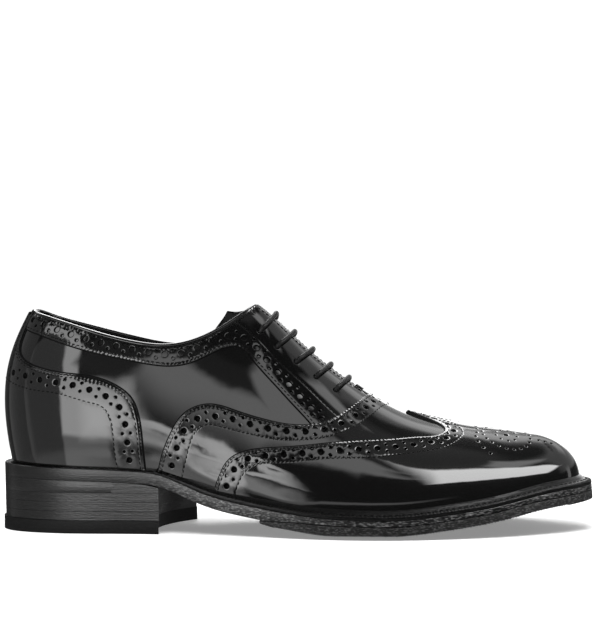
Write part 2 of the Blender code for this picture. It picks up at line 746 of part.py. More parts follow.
def main():
    for obj in list(bpy.data.objects):
        bpy.data.objects.remove(obj)
    shoe = bpy.data.objects.new("shoe", None)
    bpy.context.scene.collection.objects.link(shoe)
    shoe.location = -footprint_middle() * MM
    make_upper()
    make_counter()
    make_vamp()
    make_wing_cap()
    make_eyestays()
    make_tongue()
    make_lace()
    make_welt()
    make_outsole()
    make_tread()
    make_heel()
    make_insole()


if __name__ == "__main__":
    main()
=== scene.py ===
"""Looks of a right wing-tip oxford: polished leather panels with punched edges, lace, welt, sole and heel.

The shoe is drawn on the same last as its solids. Sizes are in millimetres from the back of the heel: +X runs
to the toe, +Y to the inner side of the foot, and the floor is z = 0. They become metres in the row's frame
when a mesh is made. A place on the last is (turn, rise). The turn goes round the feather line, 0 at the
heel, negative on the outer side and plus or minus pi at the toe. The rise climbs the wall from 0 at the
feather line to 1 at the ridge, and a rise over 1 goes on down the other side.
"""

import math
from collections import Counter

import bpy
import numpy as np
from mathutils import Matrix, Vector
from mathutils.geometry import delaunay_2d_cdt


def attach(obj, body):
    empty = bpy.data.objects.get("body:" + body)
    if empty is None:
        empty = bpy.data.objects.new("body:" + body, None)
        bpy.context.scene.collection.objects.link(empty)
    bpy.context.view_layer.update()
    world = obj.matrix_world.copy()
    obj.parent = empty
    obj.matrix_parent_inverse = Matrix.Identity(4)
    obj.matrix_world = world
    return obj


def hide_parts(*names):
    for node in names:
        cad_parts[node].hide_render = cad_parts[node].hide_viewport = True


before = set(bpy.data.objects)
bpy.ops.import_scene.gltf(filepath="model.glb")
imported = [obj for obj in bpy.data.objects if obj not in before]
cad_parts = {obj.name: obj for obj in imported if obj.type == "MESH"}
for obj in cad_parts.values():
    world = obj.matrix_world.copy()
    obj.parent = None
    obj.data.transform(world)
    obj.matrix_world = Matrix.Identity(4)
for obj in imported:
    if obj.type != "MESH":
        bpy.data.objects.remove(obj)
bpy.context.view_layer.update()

MM = 0.001
GAP = 0.3
ROUNDING = 3  # decimals of a millimetre at which two points are one
SMALL_STEP = 1e-3  # of the turn and the rise, to find directions
POLE_RISE = 0.98  # used for the toe's end of the ridge, where the last has no clear direction
LOWEST_TOP_EDGE = 0.3  # rise where the search for the top edge starts
HALVINGS = 40
FOOTPRINT_POINTS = 200
SPRING_STEP = 4.0  # length over which the toe spring is measured

# Last: half widths on the feather line, and the handles of the wall's curve at its foot and at its top
FEATHER_BACK = 6.8
FEATHER_FRONT = 293.4
FEATHER_LENGTH = FEATHER_FRONT - FEATHER_BACK
HEEL_END_RADIUS = 26.0
TOE_END_RADIUS = 17.0
GIRTH = 65.0  # usual height of the wall, measured along it
LAST_COLUMNS = ("x", "outer", "inner", "wall_out", "wall_up", "crown_reach", "crown_lean")
LAST_SECTIONS = (
    (20, 21.5, 21.5, 8.8, 45.0, 26.0, 61.0),
    (40, 27.6, 27.0, 8.2, 39.0, 27.0, 65.0),
    (70, 28.6, 26.5, 7.0, 31.0, 30.0, 67.0),
    (100, 30.4, 23.5, 5.5, 27.0, 32.0, 62.0),
    (130, 36.5, 23.5, 4.5, 27.0, 26.0, 30.0),
    (160, 43.0, 30.0, 4.5, 25.0, 20.0, 4.0),
    (185, 46.8, 38.2, 5.0, 22.0, 21.0, 0.0),
    (205, 47.2, 42.6, 5.0, 20.0, 24.0, 0.0),
    (225, 44.6, 43.8, 4.8, 18.0, 25.0, 0.0),
    (245, 38.4, 41.4, 4.4, 17.0, 23.0, 0.0),
    (262, 30.2, 35.6, 4.0, 16.0, 19.0, 0.0),
    (280, 17.2, 24.2, 3.2, 14.0, 13.0, 0.0),
    (288, 9.6, 16.8, 2.8, 13.0, 11.5, 0.0),
)
RIDGE_COLUMNS = ("x", "y", "z")
RIDGE = (
    (18, 0.0, 117.0),
    (60, 0.0, 119.0),
    (100, 0.0, 120.5),
    (120, 0.0, 119.2),
    (135, 0.2, 113.0),
    (150, 0.6, 99.2),
    (165, 1.2, 84.9),
    (180, 2.0, 73.4),
    (195, 3.2, 63.6),
    (212, 4.8, 55.4),
    (232, 6.8, 50.6),
    (255, 8.2, 47.2),
    (274, 7.6, 44.2),
)
CONE_SHIFT = 14.0
CONE_FADE = (FEATHER_BACK, 85.0)
TOE_SHIFT = 19.4
TOE_FADE = (208.0, FEATHER_FRONT)
CONE_HALF_WIDTH = 17.5
CONE_ROUND = 12.0
CONE_CLOSES = (72.0, 140.0)
CROWN_FOLLOWS = (120.0, 150.0)

# Sole heights at its middle line, and the overhang of its edge past the feather line
SOLE_COLUMNS = ("x", "top", "under", "tread")
SOLE_PROFILE = (
    (0, 34.2, 28.0, 10.0),
    (40, 33.0, 26.8, 10.0),
    (75, 31.6, 25.6, 10.0),
    (90, 29.5, 23.6, 10.4),
    (100, 25.8, 19.8, 10.8),
    (111, 21.4, 15.4, 11.4),
    (131, 16.6, 10.7, 10.2),
    (153, 13.0, 7.6, 3.8),
    (170, 10.9, 6.2, 0.6),
    (190, 9.8, 5.5, -0.5),
    (213, 9.7, 5.4, 0.0),
    (238, 12.2, 8.0, 2.7),
    (260, 15.4, 11.5, 6.4),
    (285, 20.6, 17.5, 12.5),
    (303, 22.2, 19.8, 14.9),
)
EDGE_LIFT = 1.6
EDGE_LIFT_FROM = (140.0, 165.0)
EDGE_LIFT_TO = (262.0, 298.0)
FLAT_SHARE = 0.45
OVERHANG_COLUMNS = ("x", "reach")
OVERHANG = ((6.8, 5.4), (60, 4.4), (100, 4.6), (140, 6.2), (190, 7.6), (240, 7.6), (270, 8.2), (293.4, 9.1))

# Heel, welt, tread and insole
TOP_LIFT_HEIGHT = 6.7
TOP_LIFT_PROUD = 0.9
LIFT_JOINTS = (11.2, 16.0, 20.6)
BREAST_OUTER = 89.0
BREAST_INNER = 94.5
BREAST_HOLLOW = 9.0
WELT_EDGE = 2.0
WELT_INNER_RISE = 5.0
WELT_THIN = 0.7
WELT_STARTS = 86.0
WELT_FULL_FROM = 114.0
TREAD_BACK = 143.5
INSOLE_THIN = 3.0
INSOLE_LIFT = 22.0
INSOLE_LIFT_FADE = (30.0, 160.0)

# Top line, throat, tongue and lace
TOP_LINE_COLUMNS = ("x", "z")
TOP_LINE = (
    (10, 112.6),
    (24, 109.4),
    (45, 103.6),
    (65, 98.2),
    (80, 95.2),
    (93, 94.3),
    (105, 96.4),
    (116, 101.2),
    (128, 109.0),
    (142, 119.5),
)
INNER_TOP_DROP = 2.8
INNER_DROP_TURN = 0.6
INNER_DROP_FADE = (95.0, 120.0)
FACING_GAP = 2.4
FACING_FROM = 110.0
THROAT_END = 187.0
TONGUE_TOP = 119.8
TONGUE_END = 196.0
TONGUE_SWEEP = (20.5, 0.45)  # how far its free edge curves back towards the corners, and how late
TONGUE_SPREAD = 0.36
TONGUE_GAP = 0.6
TONGUE_THICK = 1.8
TONGUE_SAG = 6.5
TONGUE_SAG_END = 140.0
LACE_DIAMETER = 2.6
LACE_BARS = (  # station on the ridge, then the eyelet's station and rise
    (142.2, 137.8, 0.8),
    (151.4, 146.4, 0.775),
    (160.6, 155.9, 0.77),
    (169.8, 165.9, 0.77),
    (179.0, 175.8, 0.77),
)

# Edges of the panels on the last, the same on both sides: station along the foot, then rise
COUNTER_EDGE = (
    (80.8, 0.008),
    (80.0, 0.16),
    (78.2, 0.322),
    (74.9, 0.405),
    (68.4, 0.458),
    (60.2, 0.488),
    (50.3, 0.496),
    (40.3, 0.49),
    (27.6, 0.494),
    (19.0, 0.518),
    (13.5, 0.572),
    (11.0, 0.64),
    (10.3, 0.72),
    (10.0, 0.82),
)
# The band of holes leaves that edge and runs on round the back of the heel
COUNTER_BAND = COUNTER_EDGE[:9] + ((17.0, 0.503), (6.9, 0.52))
COUNTER_SEAM = (
    (66.7, 0.02),
    (65.8, 0.179),
    (64.5, 0.281),
    (61.5, 0.329),
    (54.3, 0.348),
    (40.5, 0.366),
    (22.7, 0.361),
    (11.2, 0.394),
    (6.9, 0.41),
)
VAMP_EDGE = (
    (88.2, 0.016),
    (90.6, 0.12),
    (95.5, 0.263),
    (103.3, 0.392),
    (113.3, 0.436),
    (129.8, 0.412),
    (145.0, 0.41),
    (157.9, 0.44),
    (166.4, 0.481),
    (173.2, 0.533),
    (180.2, 0.627),
    (186.5, 0.778),
    (190.0, 1.0),
)
VAMP_SEAM = (
    (100.6, 0.03),
    (104.2, 0.195),
    (109.3, 0.319),
    (113.0, 0.345),
    (120.9, 0.346),
    (131.8, 0.333),
    (142.1, 0.334),
    (154.5, 0.357),
    (166.3, 0.406),
    (181.5, 0.511),
    (191.8, 0.667),
    (197.6, 0.88),
    (199.5, 1.0),
)
WING_EDGE = (
    (117.6, 0.016),
    (119.4, 0.074),
    (126.6, 0.212),
    (133.2, 0.25),
    (151.0, 0.31),
    (182.1, 0.452),
    (206.8, 0.592),
    (219.5, 0.668),
    (228.6, 0.715),
    (232.4, 0.80),
    (229.5, 0.88),
    (221.0, 0.95),
    (209.0, 1.0),
)
WING_SEAM = (
    (129.2, 0.04),
    (134.2, 0.161),
    (139.3, 0.207),
    (151.5, 0.248),
    (167.0, 0.302),
    (182.7, 0.36),
    (202.4, 0.436),
    (217.7, 0.512),
    (229.6, 0.565),
    (239.3, 0.659),
    (243.3, 0.775),
    (241.5, 0.852),
    (235.0, 0.938),
    (225.0, 1.0),
)
FACING_EDGE = (
    (171.0, 0.455),
    (166.8, 0.487),
    (157.0, 0.538),
    (148.6, 0.577),
    (138.7, 0.626),
    (132.8, 0.667),
    (128.5, 0.69),
    (122.5, 0.69),
    (108.0, 0.643),
    (93.0, 0.61),
    (75.3, 0.62),
    (59.1, 0.638),
    (46.2, 0.657),
    (29.1, 0.695),
    (13.3, 0.754),
    (8.2, 0.785),
)
FACING_SEAM = (
    (179.5, 0.597),
    (177.2, 0.606),
    (159.5, 0.675),
    (147.4, 0.699),
    (135.1, 0.753),
    (125.6, 0.818),
)

# Heights of the panels over the last, and the shapes of their edges, seams and holes
QUARTER_WALL = 1.8
FACING_LEVEL = 0.9
COUNTER_LEVEL = 1.5
VAMP_LEVEL = 1.5
WING_LEVEL = 2.6
PEAK_LIFT = (0.9, 20.0)  # how far the tip of the wing cap stands up, and how far that reaches
PANEL_FOOT = -0.15  # underside of the panels on the quarters, which are let in a little
WING_FOOT = VAMP_LEVEL - 0.2  # and of the wing cap on the vamp
UNDERLAP = 4.0  # of a panel under the one in front
CUT_EDGE = (0.55, 1.2)  # drop and width of a cut edge's round
SKIVED_EDGE = (0.45, 1.0)  # the same for an edge that is pared thin
FOLDED_EDGE = (0.55, 1.3)
BEVEL = 1.3  # 1 is a flat bevel and 2 a round edge
CUT_SLOPE = 0.9  # how far the foot of a cut edge stands out
CUT_SHADING = 0.8  # how far its shading leans to the panel's
SEAM_DEPTH = 0.08
SEAM_WIDTH = 0.45
EDGE_TO_SEAM = 1.8
FACING_TO_SEAM = 1.1
TOP_TO_SEAM = 2.0
FACING_END = THROAT_END - 0.5
FACING_BELOW_TOP = 0.35
COUNTER_BELOW_TOP = 0.006  # as a rise
BAND_MIDDLE = 5.6  # from the facing's edge to the middle of its row of holes
BAND_END = 4.6  # from the end of a band to its first hole
COUNTER_BAND_END = 4.0
FACING_BAND_ENDS = (3.0, 6.0)
FACING_BAND_FRONT = 173.5
HOLE_PITCH = 9.3
FACING_PITCH = 8.4
LARGE_HOLE = 1.55  # radius
SMALL_HOLE = 0.8
SMALL_APART = 2.1  # from the middle of the row to a small hole
AHEAD = 0.5  # how far on a row's direction is looked for
HOLE_DEPTH = 1.1
HOLE_TAPER = 0.9  # its floor is a little smaller
HOLE_ROUND = (0.16, 0.5)  # drop and width of the round of its rim
EYELET_RADIUS = 1.5
FOLD_RADIUS = 1.0
FOLD_TALL = 1.15  # the fold is a little taller than wide
FOLD_SUNK = 0.1

# Fineness of the upper's meshes, and the bends in degrees past which an edge is drawn sharp
SHARP_CORD = 60
SHARP_LEATHER = 50
SHARP_SOLE = 32
FINE_HOLE_SIDES = 10  # of a hole with a radius up to 1 mm
HOLE_SIDES = 14
OUTLINE_STEP = 1.6
ROW_STEP = 2.0
ROW_CLEAR = 0.12  # from a row's points to an outline or a hole
FILL_STEP = 2.2
FILL_CLEAR = 0.55  # share of that step between the filling and the lines that it fills
UNDER_THINNED = 3  # the underside takes one in so many of the filling
EDGE_OFFSETS = (0.22, 0.5, 0.95)  # rows of points beside an edge carry its round
FOLD_OFFSETS = (0.3, 0.7, 1.3)
SEAM_OFFSETS = (-0.85, -0.4, 0.0, 0.4, 0.85)
ON_LINE = 0.2  # a point this near to a line lies on it
ONE_POINT = 0.05
SMOOTH_POINTS = 300
BETWEEN_POINTS = 200
TOP_EDGE_POINTS = 160
FOLD_POINTS = 420
FOLD_SIDES = 12
COUNTER_POINTS = (12, 4, 160)  # up the tail, across half its top, and round the foot
NOSE_POINTS = 81
QUARTER_GRID = (300, 44)  # round the shoe, and up the wall
TONGUE_GRID = (60, 33)
CHUNK = 2000  # points whose distances are worked out at once

# Toe medallion: its holes lie by distances along the toe's axis from its centre and across it
MEDALLION_CENTRE = (260.0, -1.5)
MEDALLION_TURN = 0.12  # slope of its axis in plan
MEDALLION_RING = (12.0, 12.6, 20, 0.7)  # half length, half width, number of holes, radius
MEDALLION_HEART = (5.4, 6.2, 9, 0.6)
MEDALLION_SPRAY = ((-14.5, 2.4), (-15.0, 7.0), (-14.0, 11.4), (-11.4, 15.4), (-8.0, 18.2))
MEDALLION_STEM = (16.0, 19.0, 22.0)
MIDDLE_HOLE = 0.85  # share of a large hole
STEM_HOLE = 0.55
SEARCH_AHEAD = 8.0  # where the search for a place over the plan starts
SEARCH_ROUNDS = 25
SEARCH_REACH = 0.05

# Soft creases on both sides: station and rise of each end, half width, and depth of the trough
CREASES = (
    ((100.0, 0.255), (133.0, 0.195), 5.0, 0.42),
    ((102.0, 0.165), (136.0, 0.11), 5.0, 0.42),
    ((128.0, 0.225), (173.0, 0.145), 5.0, 0.42),
    ((134.0, 0.15), (172.0, 0.08), 5.0, 0.36),
)

# Thread and lace
STITCH_PITCH = 2.5
STITCH_LENGTH = 2.1
STITCH_RADIUS = 0.28
STITCH_SLANT = 0.12
STITCH_RINGS = 5
STITCH_SIDES = 6
STITCH_BLUNT = 0.08  # how full its ends are
STITCH_PROUD = 0.2  # share of its radius that its middle line stands up
STITCH_DIP = 0.3  # of its ends into the leather
TACK_STATIONS = (183.6, 186.4)
TACK_THREADS = 6
TACK_LENGTH = 6.0
TACK_RADIUS = 0.5
WELT_STITCH_PITCH = 3.1
WELT_STITCH_LENGTH = 2.5
WELT_STITCH_RADIUS = 0.42
WELT_STITCH_PROUD = 0.1
WELT_STITCH_ENDS = 6.0
THREAD_BLUNT = 0.1
THREAD_DIP = 0.35
LACE_POINTS = 41
LACE_SIDES = 14
LACE_DIP = 3.2  # into an eyelet
LACE_DIPS = (0.84, 1.04)  # over these shares of its half length
LACE_CROWN = 0.35  # how far its middle stands up, over the same share of its half length

# Teeth round the rim of the tread
RIB_FROM = 151.0
RIB_TO = 286.0
RIB_PITCH = 1.4
RIB_DEPTH = 1.0
RIB_SLOPE = 0.13  # the teeth run a little slantwise
RIM_SHARE = 0.8  # of the half width: outside it the sole is toothed
STEPS_PER_RIB = 4
TOE_SQUARED = (225.0, 275.0)

# Sections of the sole's layers: shares across, then each edge's insets and shares of the way down
SOLE_ACROSS = (-1, -0.9, -0.75, -0.6, -0.45, -0.2, 0, 0.2, 0.45, 0.6, 0.75, 0.9, 1)
LIFT_ACROSS = np.linspace(-1, 1, 17)
EDGE_PROFILE = ((0.5, 0.0), (0.12, 0.04), (0.0, 0.12), (0.0, 0.5), (0.0, 0.98), (0.05, 1.0))
PLAIN_PROFILE = ((0.5, 0.0), (0.12, 0.04), (0.0, 0.12), (0.0, 0.5), (0.0, 0.88), (0.12, 0.96), (0.5, 1.0))
LIFT_PROFILE = ((0.05, 0.0), (0.0, 0.015), (0.0, 0.5), (0.0, 0.985), (0.05, 1.0))
SOLE_SECTIONS = 260
SOCK_SECTIONS = 160
HEEL_SECTIONS = 90
BREAST_FROM = 15  # section where the heel starts to draw in to its hollow breast
TREAD_BACK_SECTIONS = 12
TREAD_TOE_SECTIONS = 40
LIFT_CREVICE = 0.04  # the lines between the lifts

# Section of the welt: shares of the overhang, of the way up to its edge and on to the upper, and if crimped
WELT_ROWS = (
    (0.12, 0.0, 0.0, 0),
    (0.97, 0.0, 0.0, 0),
    (1.0, 0.2, 0.0, 0),
    (1.0, 0.75, 0.0, 0),
    (0.975, 0.97, 0.0, 1),
    (0.93, 1.0, 0.06, 1),
    (0.8, 1.0, 0.16, 1),
    (0.7, 1.0, 0.18, 0),
    (0.6, 1.0, 0.34, 0),
    (0.45, 1.0, 0.62, 0),
    (0.3, 1.0, 0.95, 0),
    (0.12, 1.0, 1.0, 0),
)
WELT_SEWN_ROW = 7
WELT_SECTIONS = 1500
WELT_BULGE = 0.3
WELT_SEAT = 0.05  # over the sole
CRIMP_DEPTH = 0.14
CRIMP_SECTIONS = 5  # to one crimp

# Camera: found by setting the shoe's length, heel and toe against the picture
CAMERA_TARGET = (155.3, 0.0, 52.0)
CAMERA_AZIMUTH = 10.0
CAMERA_ELEVATION = 5.18
CAMERA_DISTANCE = 1606.6
CAMERA_ROLL = 0.9
SENSOR = 36.0
PICTURE_SIZE = (600, 625)
PIXELS_PER_MM = 1.97  # at the target
TARGET_PIXEL = 425.0  # how far down the picture the target lies


# Reading the tables

def columns(names, rows):
    """The rows as one array for each named column."""
    return dict(zip(names, np.array(rows, float).T))


def spline(knots, values, at):
    """Natural cubic spline, straight beyond its ends."""
    knots, values, at = (np.asarray(a, float) for a in (knots, values, at))
    step = np.diff(knots)
    rate = np.diff(values) / step
    count = len(knots)
    matrix = np.eye(count)
    right = np.zeros(count)
    for i in range(1, count - 1):
        matrix[i, i - 1 : i + 2] = step[i - 1], 2 * (step[i - 1] + step[i]), step[i]
        right[i] = 6 * (rate[i] - rate[i - 1])
    bend = np.linalg.solve(matrix, right)
    held = np.clip(at, knots[0], knots[-1])
    i = np.clip(np.searchsorted(knots, held, side="right") - 1, 0, count - 2)
    near, far = held - knots[i], knots[i + 1] - held
    value = (bend[i] * far**3 + bend[i + 1] * near**3) / (6 * step[i])
    value += (values[i] / step[i] - bend[i] * step[i] / 6) * far
    value += (values[i + 1] / step[i] - bend[i + 1] * step[i] / 6) * near
    slope_low = rate[0] - step[0] * bend[1] / 6
    slope_high = rate[-1] + step[-1] * bend[-2] / 6
    return value + (at - held) * np.where(at < knots[0], slope_low, slope_high)


def ease(at, start, end):
    """Smooth step from 0 at start to 1 at end."""
    share = np.clip((np.asarray(at, float) - start) / (end - start), 0, 1)
    return share**3 * (10 + share * (6 * share - 15))


def unit(vectors):
    return vectors / np.maximum(np.linalg.norm(vectors, axis=-1, keepdims=True), 1e-12)


LAST = columns(LAST_COLUMNS, LAST_SECTIONS)
RIDGE_LINE = columns(RIDGE_COLUMNS, RIDGE)
SOLE = columns(SOLE_COLUMNS, SOLE_PROFILE)
HANG = columns(OVERHANG_COLUMNS, OVERHANG)
TOP = columns(TOP_LINE_COLUMNS, TOP_LINE)


# Shape of the last and of the sole

def station(turn):
    return FEATHER_BACK + FEATHER_LENGTH * (1 - np.cos(turn)) / 2


def turn_at(x):
    """Turn, without its sign, of the feather point at length x."""
    share = np.clip((np.asarray(x, float) - FEATHER_BACK) / FEATHER_LENGTH, 0, 1)
    return np.arccos(1 - 2 * share)


def feather_plan(turn):
    """(x, y) of the feather line. Widths are splined as a share of an ellipse's, so both ends are round."""
    x = station(turn)
    half = FEATHER_LENGTH / 2 * np.sin(turn_at(LAST["x"]))
    share = (LAST["outer"] + LAST["inner"]) / 2 / half
    ends = [math.sqrt(2 * r / FEATHER_LENGTH) for r in (HEEL_END_RADIUS, TOE_END_RADIUS)]
    knots = [FEATHER_BACK, *LAST["x"], FEATHER_FRONT]
    width = spline(knots, [ends[0], *share, ends[1]], x) * FEATHER_LENGTH / 2
    middle = spline(LAST["x"], (LAST["inner"] - LAST["outer"]) / 2, x)
    middle *= ease(x, FEATHER_BACK, LAST["x"][1])
    return x, middle + width * np.sin(turn)


def ridge_point(x):
    """(x, y, z) of the ridge of the last, and its slope."""
    y = spline(RIDGE_LINE["x"], RIDGE_LINE["y"], x)
    z, ahead = (spline(RIDGE_LINE["x"], RIDGE_LINE["z"], x + d) for d in (0, 1))
    return x, y, z, ahead - z


def sole_height(level, x, across):
    """Height of a level of the sole at length x and share of the half width. The top is level across."""
    x, across = np.broadcast_arrays(np.asarray(x, float), np.asarray(across, float))
    middle = spline(SOLE["x"], SOLE[level], x)
    if level == "top":
        return middle
    if level == "tread":
        middle = np.maximum(middle, 0)
    lift = np.clip((np.abs(across) - FLAT_SHARE) / (1 - FLAT_SHARE), 0, None) ** 2
    return middle + EDGE_LIFT * ease(x, *EDGE_LIFT_FROM) * (1 - ease(x, *EDGE_LIFT_TO)) * lift


def last_point(turn, rise):
    """Points of the last's surface."""
    turn, rise = np.broadcast_arrays(np.asarray(turn, float), np.asarray(rise, float))
    over = rise > 1
    turn, rise = np.where(over, -turn, turn), np.where(over, 2 - rise, rise)
    x, y = feather_plan(turn)
    foot = np.stack([x, y, sole_height("top", x, 0) + GAP], -1)

    shift = CONE_SHIFT * (1 - ease(x, *CONE_FADE)) - TOE_SHIFT * ease(x, *TOE_FADE)
    top_x, top_y, top_z, slope = ridge_point(x + shift)
    back = np.maximum(x - FEATHER_BACK, 0)
    cone = CONE_HALF_WIDTH * np.sqrt(back / (back + CONE_ROUND)) * (1 - ease(x, *CONE_CLOSES))
    top = np.stack([top_x, top_y + cone * np.sign(np.sin(turn)), top_z], -1)

    inward = unit((top - foot) * (1, 1, 0))
    up = np.array([0, 0, 1.0])
    out, lift, reach, lean = (
        spline(LAST["x"], LAST[name], np.clip(x, LAST["x"][0], LAST["x"][-1]))[..., None]
        for name in ("wall_out", "wall_up", "crown_reach", "crown_lean")
    )
    follow = ease(x, *CROWN_FOLLOWS)[..., None]
    lean = np.radians(np.maximum(lean, 0)) + follow * np.arctan(slope[..., None] * inward[..., :1])
    low = foot - inward * out + up * lift
    high = top - reach * (inward * np.cos(lean) + up * np.sin(lean))
    t = rise[..., None]
    return (1 - t) ** 3 * foot + 3 * t * (1 - t) ** 2 * low + 3 * t * t * (1 - t) * high + t**3 * top


def off_pole(turn, rise):
    """The rise, moved off the one point of the toe's ridge where the last has no clear direction."""
    pole = (np.abs(rise - 1) < 0.01) & (np.cos(turn) < -0.999)
    return np.where(pole, POLE_RISE, rise)


def steps_on(surface, turn, rise):
    """How a surface moves for a small step of the turn and of the rise."""
    turn, rise = np.broadcast_arrays(np.asarray(turn, float), np.asarray(rise, float))
    rise = off_pole(turn, rise)
    d = SMALL_STEP
    along = (surface(turn + d, rise) - surface(turn - d, rise)) / (2 * d)
    up = (surface(turn, rise + d) - surface(turn, rise - d)) / (2 * d)
    return along, up


def last_normal(turn, rise):
    """Outward normals of the last."""
    along, up = steps_on(last_point, turn, rise)
    return unit(np.cross(up, along))


def rise_where(test, turn):
    """Lowest rise on each turn at which test(points) stops being negative."""
    low, high = np.full_like(turn, LOWEST_TOP_EDGE), np.ones_like(turn)
    for _ in range(HALVINGS):
        middle = (low + high) / 2
        below = test(last_point(turn, middle)) < 0
        low, high = np.where(below, middle, low), np.where(below, high, middle)
    return (low + high) / 2


def top_rise(turn):
    """Rise of the upper's top edge: the top line, then the facing's edge, then the closed ridge."""
    turn = np.asarray(turn, float)
    drop = ease(np.sin(turn), 0, INNER_DROP_TURN) * (1 - ease(station(turn), *INNER_DROP_FADE))
    drop *= INNER_TOP_DROP
    collar = rise_where(lambda p: p[..., 2] + drop - spline(TOP["x"], TOP["z"], p[..., 0]), turn)
    ridge_y = ridge_point(station(turn))[1]
    facing = rise_where(lambda p: FACING_GAP / 2 - np.abs(p[..., 1] - ridge_y), turn)
    edge = np.where(station(turn) > FACING_FROM, np.minimum(collar, facing), collar)
    return np.where(station(turn) >= THROAT_END, 1.0, edge)


def edge_plan(turn, reach):
    """(x, y) at a distance outside the feather line. The distance may change along the line."""
    d = 1e-4
    x, y = feather_plan(turn)
    (x0, y0), (x1, y1) = feather_plan(turn - d), feather_plan(turn + d)
    along = unit(np.stack([x1 - x0, y1 - y0], -1))
    return x - reach * along[..., 1], y + reach * along[..., 0]


def sole_edge(turn, proud=0.0):
    """Plan of the sole's own edge."""
    return edge_plan(turn, spline(HANG["x"], HANG["reach"], station(turn)) + proud)


def footprint_middle():
    """Middle of the box round the sole and the heel's top lift, on the floor: the row's origin."""
    x, y = sole_edge(np.linspace(-math.pi, math.pi, FOOTPRINT_POINTS))
    back, _ = sole_edge(np.zeros(1), TOP_LIFT_PROUD)
    return np.array([(back[0] + x.max()) / 2, (y.min() + y.max()) / 2, 0])


ORIGIN = footprint_middle()


def squared_toe(points, top):
    """Moves the sole's toe forward by its depth under the top, as its edge is cut square to the spring."""
    x = points[..., 0]
    rise = spline(SOLE["x"], SOLE["top"], x) - spline(SOLE["x"], SOLE["top"], x - SPRING_STEP)
    depth = np.maximum(top - points[..., 2], 0)
    forward = np.maximum(rise / SPRING_STEP, 0) * ease(x, *TOE_SQUARED) * depth
    return points + forward[..., None] * (1, 0, 0)


def row_frame(points):
    """Shoe millimetres as metres in the row's frame."""
    return (np.asarray(points, float) - ORIGIN) * MM


# Materials

def linear(code):
    """An sRGB hex colour as linear red, green, blue and alpha."""
    parts = [int(code[i : i + 2], 16) / 255 for i in (1, 3, 5)]
    return tuple(c / 12.92 if c <= 0.04045 else ((c + 0.055) / 1.055) ** 2.4 for c in parts) + (1.0,)


def node(tree, kind, inputs=None, **settings):
    """Adds a node with its settings. An input is a value, or another node's socket to link."""
    made = tree.nodes.new(kind)
    for name, value in settings.items():
        setattr(made, name, value)
    for name, value in (inputs or {}).items():
        if isinstance(value, bpy.types.NodeSocket):
            tree.links.new(value, made.inputs[name])
        else:
            made.inputs[name].default_value = value
    return made


def per_mm(size):
    """Scale of a pattern in metres whose features are this many millimetres wide."""
    return 1 / (size * MM)


def noise(tree, place, size, detail):
    """Cloudy pattern whose features are this many millimetres wide."""
    inputs = {"Vector": place, "Scale": per_mm(size), "Detail": detail}
    return node(tree, "ShaderNodeTexNoise", inputs).outputs["Fac"]


def cells(tree, place, size):
    """Pattern of small cells, like pores, this many millimetres wide."""
    return node(tree, "ShaderNodeTexVoronoi", {"Vector": place, "Scale": per_mm(size)}).outputs["Distance"]


def ranged(tree, value, low, high):
    """A pattern's values from 0 to 1 as values from low to high."""
    inputs = {"Value": value, "To Min": low, "To Max": high}
    return node(tree, "ShaderNodeMapRange", inputs).outputs["Result"]


def bumped(tree, height, strength, depth, **under):
    """Normals of a skin with bumps this many millimetres deep, over other normals where given."""
    inputs = {"Height": height, "Strength": strength, "Distance": depth * MM, **under}
    return node(tree, "ShaderNodeBump", inputs).outputs["Normal"]


def surface(name, colour, roughness, **shader):
    """A new material, its node tree and its shader, with what is the same all over set on the shader."""
    material = bpy.data.materials.new(name)
    material.use_nodes = True
    tree = material.node_tree
    bsdf = tree.nodes["Principled BSDF"]
    bsdf.inputs["Base Color"].default_value = linear(colour)
    bsdf.inputs["Roughness"].default_value = roughness
    for socket, value in shader.items():
        bsdf.inputs[socket.replace("_", " ")].default_value = value
    return material, tree, bsdf


def polished_calf():
    """Box calf, brushed with wax: near black under a hard clear film that mirrors lamps in soft ripples."""
    material, tree, bsdf = surface("polished_calf", "#060606", 0.25, Coat_Weight=1.0, Coat_Roughness=0.045)
    bsdf.inputs["Specular IOR Level"].default_value = 0.02  # wax and leather bend light almost alike
    place = node(tree, "ShaderNodeTexCoord").outputs["Object"]
    rub = ranged(tree, noise(tree, place, 22, 2.0), 0.2, 0.3)
    tree.links.new(rub, bsdf.inputs["Roughness"])
    pores = cells(tree, place, 0.6)  # drawn coarser than real pores, so that they show
    tree.links.new(bumped(tree, pores, 0.12, 0.03), bsdf.inputs["Normal"])
    ripple = noise(tree, place, 9, 1.0)
    tree.links.new(bumped(tree, ripple, 0.35, 0.12), bsdf.inputs["Coat Normal"])
    return material


def dyed_cut_edge():
    """Raw cut of the leather, dyed black: open fibres with no shine."""
    material, tree, bsdf = surface("dyed_cut_edge", "#030303", 0.8, Specular_IOR_Level=0.1)
    place = node(tree, "ShaderNodeTexCoord").outputs["Object"]
    fibre = noise(tree, place, 0.3, 3.0)
    tree.links.new(bumped(tree, fibre, 0.5, 0.1), bsdf.inputs["Normal"])
    return material


def lining_leather():
    """Sheepskin lining: soft black with a dry, fine grain."""
    material, tree, bsdf = surface("lining_leather", "#141314", 0.5)
    place = node(tree, "ShaderNodeTexCoord").outputs["Object"]
    pores = cells(tree, place, 0.9)
    tree.links.new(bumped(tree, pores, 0.4, 0.12), bsdf.inputs["Normal"])
    return material


